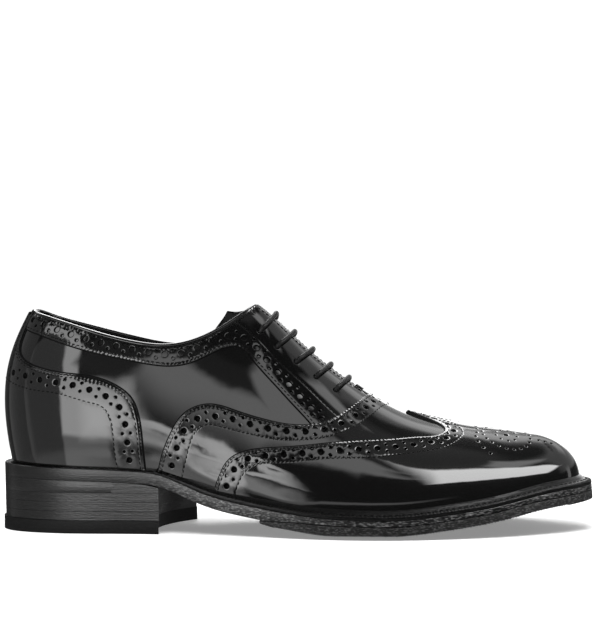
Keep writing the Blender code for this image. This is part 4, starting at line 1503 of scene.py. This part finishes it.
def make_laces():
    """Straight bars of the lace. Each dips into an eyelet on both sides."""
    across = np.linspace(-1.0, 1.0, LACE_POINTS)
    ends = np.abs(across)
    out = FACING_LEVEL + LACE_DIAMETER / 2 - LACE_DIP * ease(ends, *LACE_DIPS)
    out = out + LACE_CROWN * (1 - ease(ends, 0.0, LACE_CROWN))
    for number, (ridge, eyelet, rise) in enumerate(LACE_BARS, 1):
        x = ridge + (eyelet - ridge) * across**2
        turns, rises = -turn_at(x), 1 + (1 - rise) * across
        base, normal = last_point(turns, rises), last_normal(turns, rises)
        points, faces = tube(base + out[:, None] * normal, LACE_DIAMETER / 2, LACE_SIDES, 1.0, normal)
        bars = [f"lace_bar_{number}"]
        wrap_uv(piece(f"lace_{number}", points, faces, [COTTON], bars, sharp=SHARP_CORD))


def wrap_uv(lace):
    """UVs of a lace: along it, a ring of points at about a quarter of its width, and round it, in metres."""
    layer = lace.data.uv_layers.new(name="cord")
    size = LACE_DIAMETER * MM
    for polygon in lace.data.polygons:
        for loop in polygon.loop_indices:
            ring, side = divmod(lace.data.loops[loop].vertex_index, LACE_SIDES)
            layer.data[loop].uv = (ring * size / 4, side * size * math.pi / LACE_SIDES)


def make_throat_tack():
    """Bar of thread across the end of the throat, which takes the strain of the lace."""
    x = np.linspace(*TACK_STATIONS, TACK_THREADS)
    base, normal = (f(-turn_at(x), np.ones_like(x)) for f in (last_point, last_normal))
    middles = base + (FACING_LEVEL + TACK_RADIUS) * normal
    across = np.broadcast_to(np.array([0, 1.0, 0]), base.shape)
    threads("throat_tack", middles, across, normal.mean(0), TACK_LENGTH, TACK_RADIUS)


# Sole and heel

def sole_section(turns, plan, top, bottom, profile, across, warp):
    """Points of the closed cross-sections of a layer of the sole, one for each turn."""
    across = np.array(across)
    share = (across + 1) / 2
    levels = []
    for height, edge in ((top, profile[0]), (bottom, profile[-1])):
        (x0, y0), (x1, y1) = plan(-turns, -edge[0]), plan(turns, -edge[0])
        x = x0[:, None] * (1 - share) + x1[:, None] * share
        y = y0[:, None] * (1 - share) + y1[:, None] * share
        s = np.broadcast_to(across, x.shape)
        levels.append(np.stack([x + warp(turns, s), y, height(x, s)], -1))
    sides = []
    for sign in (1, -1):
        rows = []
        for inset, part in profile[1:-1]:
            x, y = plan(sign * turns, -inset)
            s = np.full_like(x, sign)
            high, low = top(x, s), bottom(x, s)
            rows.append(np.stack([x + warp(turns, s[:, None])[:, 0], y, high + (low - high) * part], -1))
        sides.append(np.stack(rows, 1))
    return np.concatenate([levels[0], sides[0], levels[1][:, ::-1], sides[1][:, ::-1]], 1)


def no_warp(turns, across):
    return np.zeros((len(turns), np.shape(across)[-1]))


def sole_layer(
    name, solid, material, turns, plan, top, bottom, profile, across, warp=no_warp, shift=None
):
    """A layer of the sole, lofted from its cross-sections and closed at both ends."""
    rings = sole_section(turns, plan, top, bottom, profile, across, warp)
    wide, deep = len(across), len(profile) - 2
    if shift is not None:
        rings = shift(rings, wide, deep)
    count, size = rings.shape[:2]
    faces = [turned(f)[::-1] for f in ring_faces(count, size)]
    for first, at_front in ((0, False), ((count - 1) * size, True)):
        low = first + wide + deep
        ends = [(first + j, first + j + 1, low + wide - 2 - j, low + wide - 1 - j) for j in range(wide - 1)]
        ends.append((first + wide - 1, *range(first + wide, first + wide + deep), low))
        ends.append((low + wide - 1, *range(low + wide, low + wide + deep), first))
        faces += [f[::-1] if at_front else f for f in ends]
    points, faces, _, _ = weld(rings.reshape(-1, 3), faces)
    points = squared_toe(points, sole_height("top", points[:, 0], 0) + WELT_EDGE)
    piece(name, points, faces, [material], [solid], sharp=SHARP_SOLE)


def level_of(name, below=0.0):
    """Height function of a level of the sole, or of a distance below it."""
    return lambda x, across: sole_height(name, x, across) - below


def flat_at(height):
    return lambda x, across: np.full_like(x, height)


def make_outsole():
    """Leather sole from the heel seat to the toe."""
    turns = np.linspace(0, math.pi, SOLE_SECTIONS)
    sole_layer(
        "sole_leather_layer", "outsole", SOLE_LEATHER, turns, sole_edge,
        level_of("top"), level_of("under"), EDGE_PROFILE, SOLE_ACROSS,
    )


def make_tread():
    """Rubber forepart with a toothed rim, a sunk band inside it and a plain middle."""
    back = np.linspace(TREAD_BACK, RIB_FROM, TREAD_BACK_SECTIONS)[:-1]
    ribs = np.arange(RIB_FROM, RIB_TO, RIB_PITCH / STEPS_PER_RIB)
    toe = np.linspace(turn_at(RIB_TO), math.pi, TREAD_TOE_SECTIONS)
    turns = np.concatenate([turn_at(back), turn_at(ribs), toe])

    def ground(x, across):
        return np.minimum(sole_height("tread", x, across), sole_height("under", x, across) - 3 * GAP)

    def toothed(rings, wide, deep):
        low = slice(wide + deep, 2 * wide + deep)
        phase = (rings[:, low, 0] + RIB_SLOPE * rings[:, low, 1] - RIB_FROM) / RIB_PITCH % 1
        share = np.abs(np.array(SOLE_ACROSS))
        tooth = np.where(share > RIM_SHARE, np.abs(2 * phase - 1), share > FLAT_SHARE)
        ribbed = (station(turns) > RIB_FROM) * (station(turns) < RIB_TO)
        tooth = RIB_DEPTH * tooth * ribbed[:, None]
        rings[:, low, 2] += tooth
        rings[:, low.start - 1, 2] += tooth[:, 0]
        rings[:, low.stop, 2] += tooth[:, -1]
        return rings

    sole_layer(
        "rubber_forepart", "tread", SPECKLED_RUBBER, turns, sole_edge,
        level_of("under", GAP), ground, PLAIN_PROFILE, SOLE_ACROSS, shift=toothed,
    )


def make_heel():
    """Rubber top lift on the floor, and leather lifts stacked on it up to the sole."""
    turns = np.linspace(0, 1, HEEL_SECTIONS) * turn_at((BREAST_OUTER + BREAST_INNER) / 2)

    def breast(turns_now, across):
        share = ease(turns_now, turns[BREAST_FROM], turns[-1])[:, None]
        return share * ((BREAST_INNER - BREAST_OUTER) / 2 * across - BREAST_HOLLOW * (1 - across**2))

    def proud(turn, out):
        return sole_edge(turn, TOP_LIFT_PROUD + out)

    levels = [TOP_LIFT_HEIGHT, *LIFT_JOINTS]
    tops = [flat_at(level - LIFT_CREVICE) for level in levels] + [level_of("under", LIFT_CREVICE)]
    sole_layer(
        "heel_top_piece", "top_lift", HEEL_RUBBER, turns, proud,
        tops[0], flat_at(0.0), LIFT_PROFILE, LIFT_ACROSS, breast,
    )
    for i, low in enumerate(levels, 1):
        sole_layer(
            f"heel_stack_{i}", f"heel_lift_{i}", HEEL_LEATHER, turns, sole_edge,
            tops[i], flat_at(low), LIFT_PROFILE, LIFT_ACROSS, breast,
        )


def make_sock():
    """Insole under its sock lining, raised under the heel."""
    def top(x, across):
        lift = INSOLE_LIFT * (1 - ease(x, *INSOLE_LIFT_FADE))
        return sole_height("top", x, across) + GAP + INSOLE_THIN + lift

    def plan(turn, out):
        return edge_plan(turn, -QUARTER_WALL - 2 * GAP + out)

    turns = np.linspace(0, math.pi, SOCK_SECTIONS)
    sole_layer(
        "sock_lining", "insole", LINING, turns, plan,
        top, level_of("top", -GAP), PLAIN_PROFILE, SOLE_ACROSS,
    )


def make_welt():
    """Welt round the forefoot, crimped along its edge, with a row of stitches."""
    start = turn_at(WELT_STARTS)
    turns = np.linspace(start, 2 * math.pi - start, WELT_SECTIONS)
    x = station(turns)
    grown = ease(x, WELT_STARTS, WELT_FULL_FROM)
    inner_rise = WELT_THIN + (WELT_INNER_RISE - WELT_THIN) * grown
    edge_rise = WELT_THIN + (WELT_EDGE - WELT_THIN) * grown
    overhang = spline(HANG["x"], HANG["reach"], x)
    crimp = CRIMP_DEPTH * grown * np.cos(2 * math.pi * np.arange(len(turns)) / CRIMP_SECTIONS)
    rings = []
    for share, up_edge, up_inner, crimped in WELT_ROWS:
        px, py = edge_plan(turns, overhang * share + WELT_BULGE * inner_rise * up_inner * (1 - share))
        rise = WELT_SEAT + edge_rise * up_edge + (inner_rise - edge_rise) * up_inner + crimp * crimped
        rings.append(np.stack([px, py, sole_height("top", px, 0) + rise], -1))
    rings = np.stack(rings, 1)
    rings = squared_toe(rings, sole_height("top", rings[..., 0], 0) + WELT_EDGE)
    count, size = rings.shape[:2]
    faces = [turned(f) for f in ring_faces(count, size)] + [f[::-1] for f in end_faces(count, size)]
    points = rings.reshape(-1, 3)
    piece("welt_strip", points, faces, [WELT_LEATHER], ["welt"], sharp=SHARP_LEATHER)
    sewn = rings[:, WELT_SEWN_ROW]
    reach = lengths(sewn)
    at = np.arange(WELT_STITCH_ENDS, reach[-1] - WELT_STITCH_ENDS, WELT_STITCH_PITCH)
    middles = at_lengths(sewn, reach, at)
    runs = unit(np.gradient(middles, axis=0))
    middles = middles + (0, 0, WELT_STITCH_PROUD)
    upward = np.array([0, 0, 1.0])
    threads("welt_stitching", middles, runs, upward, WELT_STITCH_LENGTH, WELT_STITCH_RADIUS)


def threads(name, middles, runs, upward, length, radius):
    """Short threads lying on a surface, joined into one mesh."""
    share = np.linspace(-1, 1, STITCH_RINGS)
    swell = np.sqrt(np.maximum(1 - share**4, THREAD_BLUNT))
    points, faces, first = [], [], 0
    for middle, run in zip(middles, runs):
        path = middle + run * share[:, None] * length / 2 - upward * (THREAD_DIP * share**4)[:, None]
        made, made_faces = tube(path, radius * swell, STITCH_SIDES, 1.0, upward)
        points.append(made)
        faces += [tuple(first + i for i in f) for f in made_faces]
        first += len(made)
    piece(name, np.concatenate(points), faces, [THREAD])


# Stage, light and camera

def aim(obj, place, target, roll=0.0):
    """Puts an object at a place with its -Z axis on the target."""
    place, target = Vector(place), Vector(target)
    turn = (target - place).to_track_quat("-Z", "Y")
    obj.matrix_world = Matrix.LocRotScale(place, turn, None) @ Matrix.Rotation(roll, 4, "Z")


def direction(azimuth, elevation):
    """Unit vector. Azimuth 0 points at the camera's side of the shoe and 90 at the toe's."""
    a, e = math.radians(azimuth), math.radians(elevation)
    return np.array([math.sin(a) * math.cos(e), -math.cos(a) * math.cos(e), math.sin(e)])


CARD_COLUMNS = ("across", "up", "half_width", "half_height", "tilt", "softness", "radiance")
ROOM_LIGHT = 0.08
BACKDROP_LIGHT = 1.05  # just over white, for the camera alone
ROOM_CARDS = {  # azimuth and elevation in degrees as seen from the shoe, each in front of the ones before
    "ceiling": (0, 90, 400, 22, 0, 0.2, 0.3),
    "toe_side_wall": (140, 36, 44, 22, -12, 0.15, 0.75),
    "far_strip": (166, 43, 26, 6, 0, 0.5, 2.0),
    "ridge_light": (96, 66, 15, 6, 0, 0.4, 2.6),
    "rim_light": (-168, 57, 10, 24, 0, 0.3, 10.0),
    "heel_side_wall": (-88, 6, 28, 32, 0, 0.1, 0.4),
    "pale_ground": (0, -30, 400, 11, 0, 0.2, 0.6),
    "toe_strip": (108, 10, 5, 16, 0, 0.4, 1.6),
}
SCREEN_PLACE = (-0.13, -0.17, 0.21)
SCREEN_SIZE = (0.64, 0.58)
SCREEN_CARDS = {  # metres along the shoe and up from the floor, on an upright screen beside its outer side
    "grey_wall": (-0.325, 0.08, 0.123, 0.17, 0, 0.03, 0.42),
    "collar_light": (-0.255, 0.25, 0.07, 0.018, -21, 0.3, 4.5),
    "low_panel": (-0.163, -0.012, 0.043, 0.035, 0, 0.12, 1.8),
    "heel_panel": (-0.154, 0.07, 0.051, 0.055, 0, 0.12, 5.6),
    "heel_strip": (-0.193, 0.165, 0.018, 0.06, 10, 0.25, 5.0),
    "hot_spot": (-0.13, 0.05, 0.022, 0.03, 0, 0.8, 7.5),
    "vamp_light": (0.045, 0.27, 0.02, 0.09, -22, 0.5, 2.2),
    "grey_card": (-0.005, 0.195, 0.125, 0.03, 45, 0.35, 2.2),
    "dark_corner": (-0.126, 0.17, 0.042, 0.04, -35, 0.3, 0.12),
    "dark_spot": (-0.06, 0.192, 0.038, 0.024, 12, 0.4, 0.1),
    "upper_streak": (-0.084, 0.051, 0.022, 0.006, 10, 0.5, 6.5),
    "lower_patch": (-0.088, 0.024, 0.024, 0.013, 8, 0.5, 3.2),
    "edge_light": (0.0, 0.028, 0.11, 0.005, 14, 0.7, 1.3),
    "ground_card": (0.03, -0.055, 0.16, 0.026, 0, 0.3, 0.7),
}
TOE_LAMP_PLACE = (0.262, -0.087, 0.25)
TOE_LAMP_SIZE = (0.36, 0.15)
TOE_LAMP_TURN = 22.0
TOE_LAMP_CARDS = {"silk": (0.0, 0.0, 0.16, 0.06, 0, 0.15, 12.5)}
BACK_LAMP_PLACE = (-0.4, 0.28, 0.58)
BACK_LAMP_AIM = (0.0, 0.0, 0.05)
BACK_LAMP_SIZE = (0.4, 0.25)
BACK_LAMP_CARDS = {"silk": (0.0, 0.0, 0.18, 0.11, 0, 0.15, 4.0)}
INNER_LAMP_PLACE = (0.0, 0.42, 0.12)
INNER_LAMP_SIZE = (0.7, 0.3)
INNER_LAMP_CARDS = {
    "silk": (-0.05, 0.0, 0.2, 0.1, 0, 0.3, 2.5),
    "strip": (0.2, 0.0, 0.03, 0.13, 0, 0.4, 4.0),
}
FLOOR_LAMP_PLACE = (0.0, -0.4, 1.2)  # towards the camera, so the shadow falls behind
FLOOR_LAMP_SIZE = (0.9, 0.9)
FLOOR_LAMP_CARDS = {"silk": (0.0, 0.0, 0.45, 0.45, 0, 0.1, 8.0)}


def painted(tree, spot, level, cards):
    """Brightness at a spot of a flat map: soft-edged cards, each laid over the ones before it."""
    for row in cards.values():
        card = dict(zip(CARD_COLUMNS, row))
        local = {
            "Vector": spot,
            "Location": (card["across"], card["up"], 0),
            "Rotation": (0, 0, math.radians(card["tilt"])),
            "Scale": (card["half_width"], card["half_height"], 1),
        }
        on_card = node(tree, "ShaderNodeMapping", local, vector_type="TEXTURE").outputs[0]
        shares = node(tree, "ShaderNodeVectorMath", {0: on_card}, operation="ABSOLUTE").outputs[0]
        sides = node(tree, "ShaderNodeSeparateXYZ", {0: shares}).outputs
        reach = node(tree, "ShaderNodeMath", {0: sides["X"], 1: sides["Y"]}, operation="MAXIMUM").outputs[0]
        soft = card["softness"]
        fade = {"Value": reach, "From Min": 1 - soft, "From Max": 1 + soft, "To Min": 1.0, "To Max": 0.0}
        edge = node(tree, "ShaderNodeMapRange", fade, interpolation_type="SMOOTHSTEP").outputs[0]
        shown = {"Factor": edge, 2: level, 3: card["radiance"]}
        level = node(tree, "ShaderNodeMix", shown, data_type="FLOAT").outputs[0]
    return level


def make_lamp(name, place, target, size, cards, middle=(0.0, 0.0), turn=0.0):
    """A flat lamp whose brightness is painted on it. Its map's origin may lie off its middle."""
    lamp = bpy.data.lights.new(name, "AREA")
    lamp.shape = "RECTANGLE"
    lamp.size, lamp.size_y = size
    lamp.energy = math.pi * lamp.size * lamp.size_y
    lamp.use_nodes = True
    tree = lamp.node_tree
    across = node(tree, "ShaderNodeNewGeometry").outputs["Parametric"]
    low = (middle[0] - size[0] / 2, middle[1] - size[1] / 2, 0)
    on_map = {"Vector": across, "Location": low, "Scale": (*size, 1)}
    spot = node(tree, "ShaderNodeMapping", on_map).outputs[0]
    tree.links.new(painted(tree, spot, 0.0, cards), tree.nodes["Emission"].inputs["Strength"])
    obj = bpy.data.objects.new(name, lamp)
    bpy.context.scene.collection.objects.link(obj)
    aim(obj, place, target, math.radians(turn))
    obj.visible_camera = False
    return obj


def make_lamps(floor):
    """Lamps for the shoe, which leave the floor dark, and one for the floor alone."""
    x, y, z = SCREEN_PLACE
    side = make_lamp("side_screen", SCREEN_PLACE, (x, y + 1, z), SCREEN_SIZE, SCREEN_CARDS, (x, z))
    x, y, z = TOE_LAMP_PLACE
    below = (x, y + MM, 0)
    toe = make_lamp("toe_lamp", TOE_LAMP_PLACE, below, TOE_LAMP_SIZE, TOE_LAMP_CARDS, turn=TOE_LAMP_TURN)
    back = make_lamp("back_lamp", BACK_LAMP_PLACE, BACK_LAMP_AIM, BACK_LAMP_SIZE, BACK_LAMP_CARDS)
    x, y, z = INNER_LAMP_PLACE
    inner = make_lamp("inner_lamp", INNER_LAMP_PLACE, (x, y - 1, z), INNER_LAMP_SIZE, INNER_LAMP_CARDS)
    over = make_lamp("floor_lamp", FLOOR_LAMP_PLACE, (0, 0, 0), FLOOR_LAMP_SIZE, FLOOR_LAMP_CARDS)
    receivers(over, [floor], "INCLUDE")
    for lamp in (side, back, inner):
        receivers(lamp, [floor], "EXCLUDE")
    receivers(toe, [floor, bpy.data.objects["facing_outer"]], "EXCLUDE")


def receivers(lamp, objects, state):
    """Lets a lamp shine only on some objects, or on all but these, as a flag in front of it would."""
    group = bpy.data.collections.new(lamp.name + "_flag")
    for obj in objects:
        group.objects.link(obj)
    for entry in group.collection_objects:
        entry.light_linking.link_state = state
    lamp.light_linking.receiver_collection = group


def make_world():
    """White for the camera. For the shoe: a dark studio with pale walls, ceiling and ground."""
    world = bpy.data.worlds.new("studio")
    bpy.context.scene.world = world
    world.use_nodes = True
    tree = world.node_tree
    looking = node(tree, "ShaderNodeTexCoord").outputs["Generated"]
    way = node(tree, "ShaderNodeSeparateXYZ", {0: looking}).outputs
    near = node(tree, "ShaderNodeMath", {0: way["Y"], 1: -1.0}, operation="MULTIPLY").outputs[0]
    azimuth = node(tree, "ShaderNodeMath", {0: way["X"], 1: near}, operation="ARCTAN2").outputs[0]
    elevation = node(tree, "ShaderNodeMath", {0: way["Z"]}, operation="ARCSINE").outputs[0]
    angles = {}
    for axis, angle in (("X", azimuth), ("Y", elevation)):
        angles[axis] = node(tree, "ShaderNodeMath", {0: angle}, operation="DEGREES").outputs[0]
    spot = node(tree, "ShaderNodeCombineXYZ", angles).outputs[0]
    shown = {
        "Factor": node(tree, "ShaderNodeLightPath").outputs["Is Camera Ray"],
        2: painted(tree, spot, ROOM_LIGHT, ROOM_CARDS),
        3: BACKDROP_LIGHT,
    }
    level = node(tree, "ShaderNodeMix", shown, data_type="FLOAT").outputs[0]
    tree.links.new(level, tree.nodes["Background"].inputs["Strength"])
    tree.nodes["Background"].inputs["Color"].default_value = (1, 1, 1, 1)


FLOOR_SIZE = (0.45, 0.4)  # half length and half width
PAPER_GLOW = 0.25  # light that a white room sends into the shadow


def make_floor():
    """Plain white sweep under the shoe, which the polish doesn't mirror."""
    long, wide = FLOOR_SIZE
    mesh = bpy.data.meshes.new("floor")
    corners = [(-long, -wide, 0), (long, -wide, 0), (long, wide, 0), (-long, wide, 0)]
    mesh.from_pydata(corners, [], [(0, 1, 2, 3)])
    material, tree, bsdf = surface("white_paper", "#f6f6f6", 0.9, Emission_Strength=PAPER_GLOW)
    place = node(tree, "ShaderNodeTexCoord").outputs["Object"]
    pulp = noise(tree, place, 1.5, 3.0)
    tree.links.new(bumped(tree, pulp, 0.1, 0.05), bsdf.inputs["Normal"])
    bsdf.inputs["Emission Color"].default_value = linear("#ffffff")
    mesh.materials.append(material)
    floor = bpy.data.objects.new("floor", mesh)
    bpy.context.scene.collection.objects.link(floor)
    floor.visible_glossy = False
    return floor


def make_camera():
    """Camera at the picture's angle, with the same crop."""
    camera = bpy.data.cameras.new("camera")
    focal_pixels = PIXELS_PER_MM * CAMERA_DISTANCE
    camera.sensor_width = SENSOR
    camera.lens = SENSOR * focal_pixels / max(PICTURE_SIZE)
    camera.shift_y = (TARGET_PIXEL - PICTURE_SIZE[1] / 2) / max(PICTURE_SIZE)
    obj = bpy.data.objects.new("camera", camera)
    bpy.context.scene.collection.objects.link(obj)
    target = row_frame(CAMERA_TARGET)
    place = target + CAMERA_DISTANCE * MM * direction(CAMERA_AZIMUTH, CAMERA_ELEVATION)
    aim(obj, place, target, -math.radians(CAMERA_ROLL))
    bpy.context.scene.camera = obj


make_quarters()
make_counter()
make_vamp()
make_wing_cap()
make_facings()
make_top_fold()
make_stitching()
make_tongue()
make_laces()
make_throat_tack()
make_outsole()
make_tread()
make_heel()
make_sock()
make_welt()
make_world()
make_lamps(make_floor())
make_camera()
bpy.context.scene.view_settings.view_transform = "Standard"
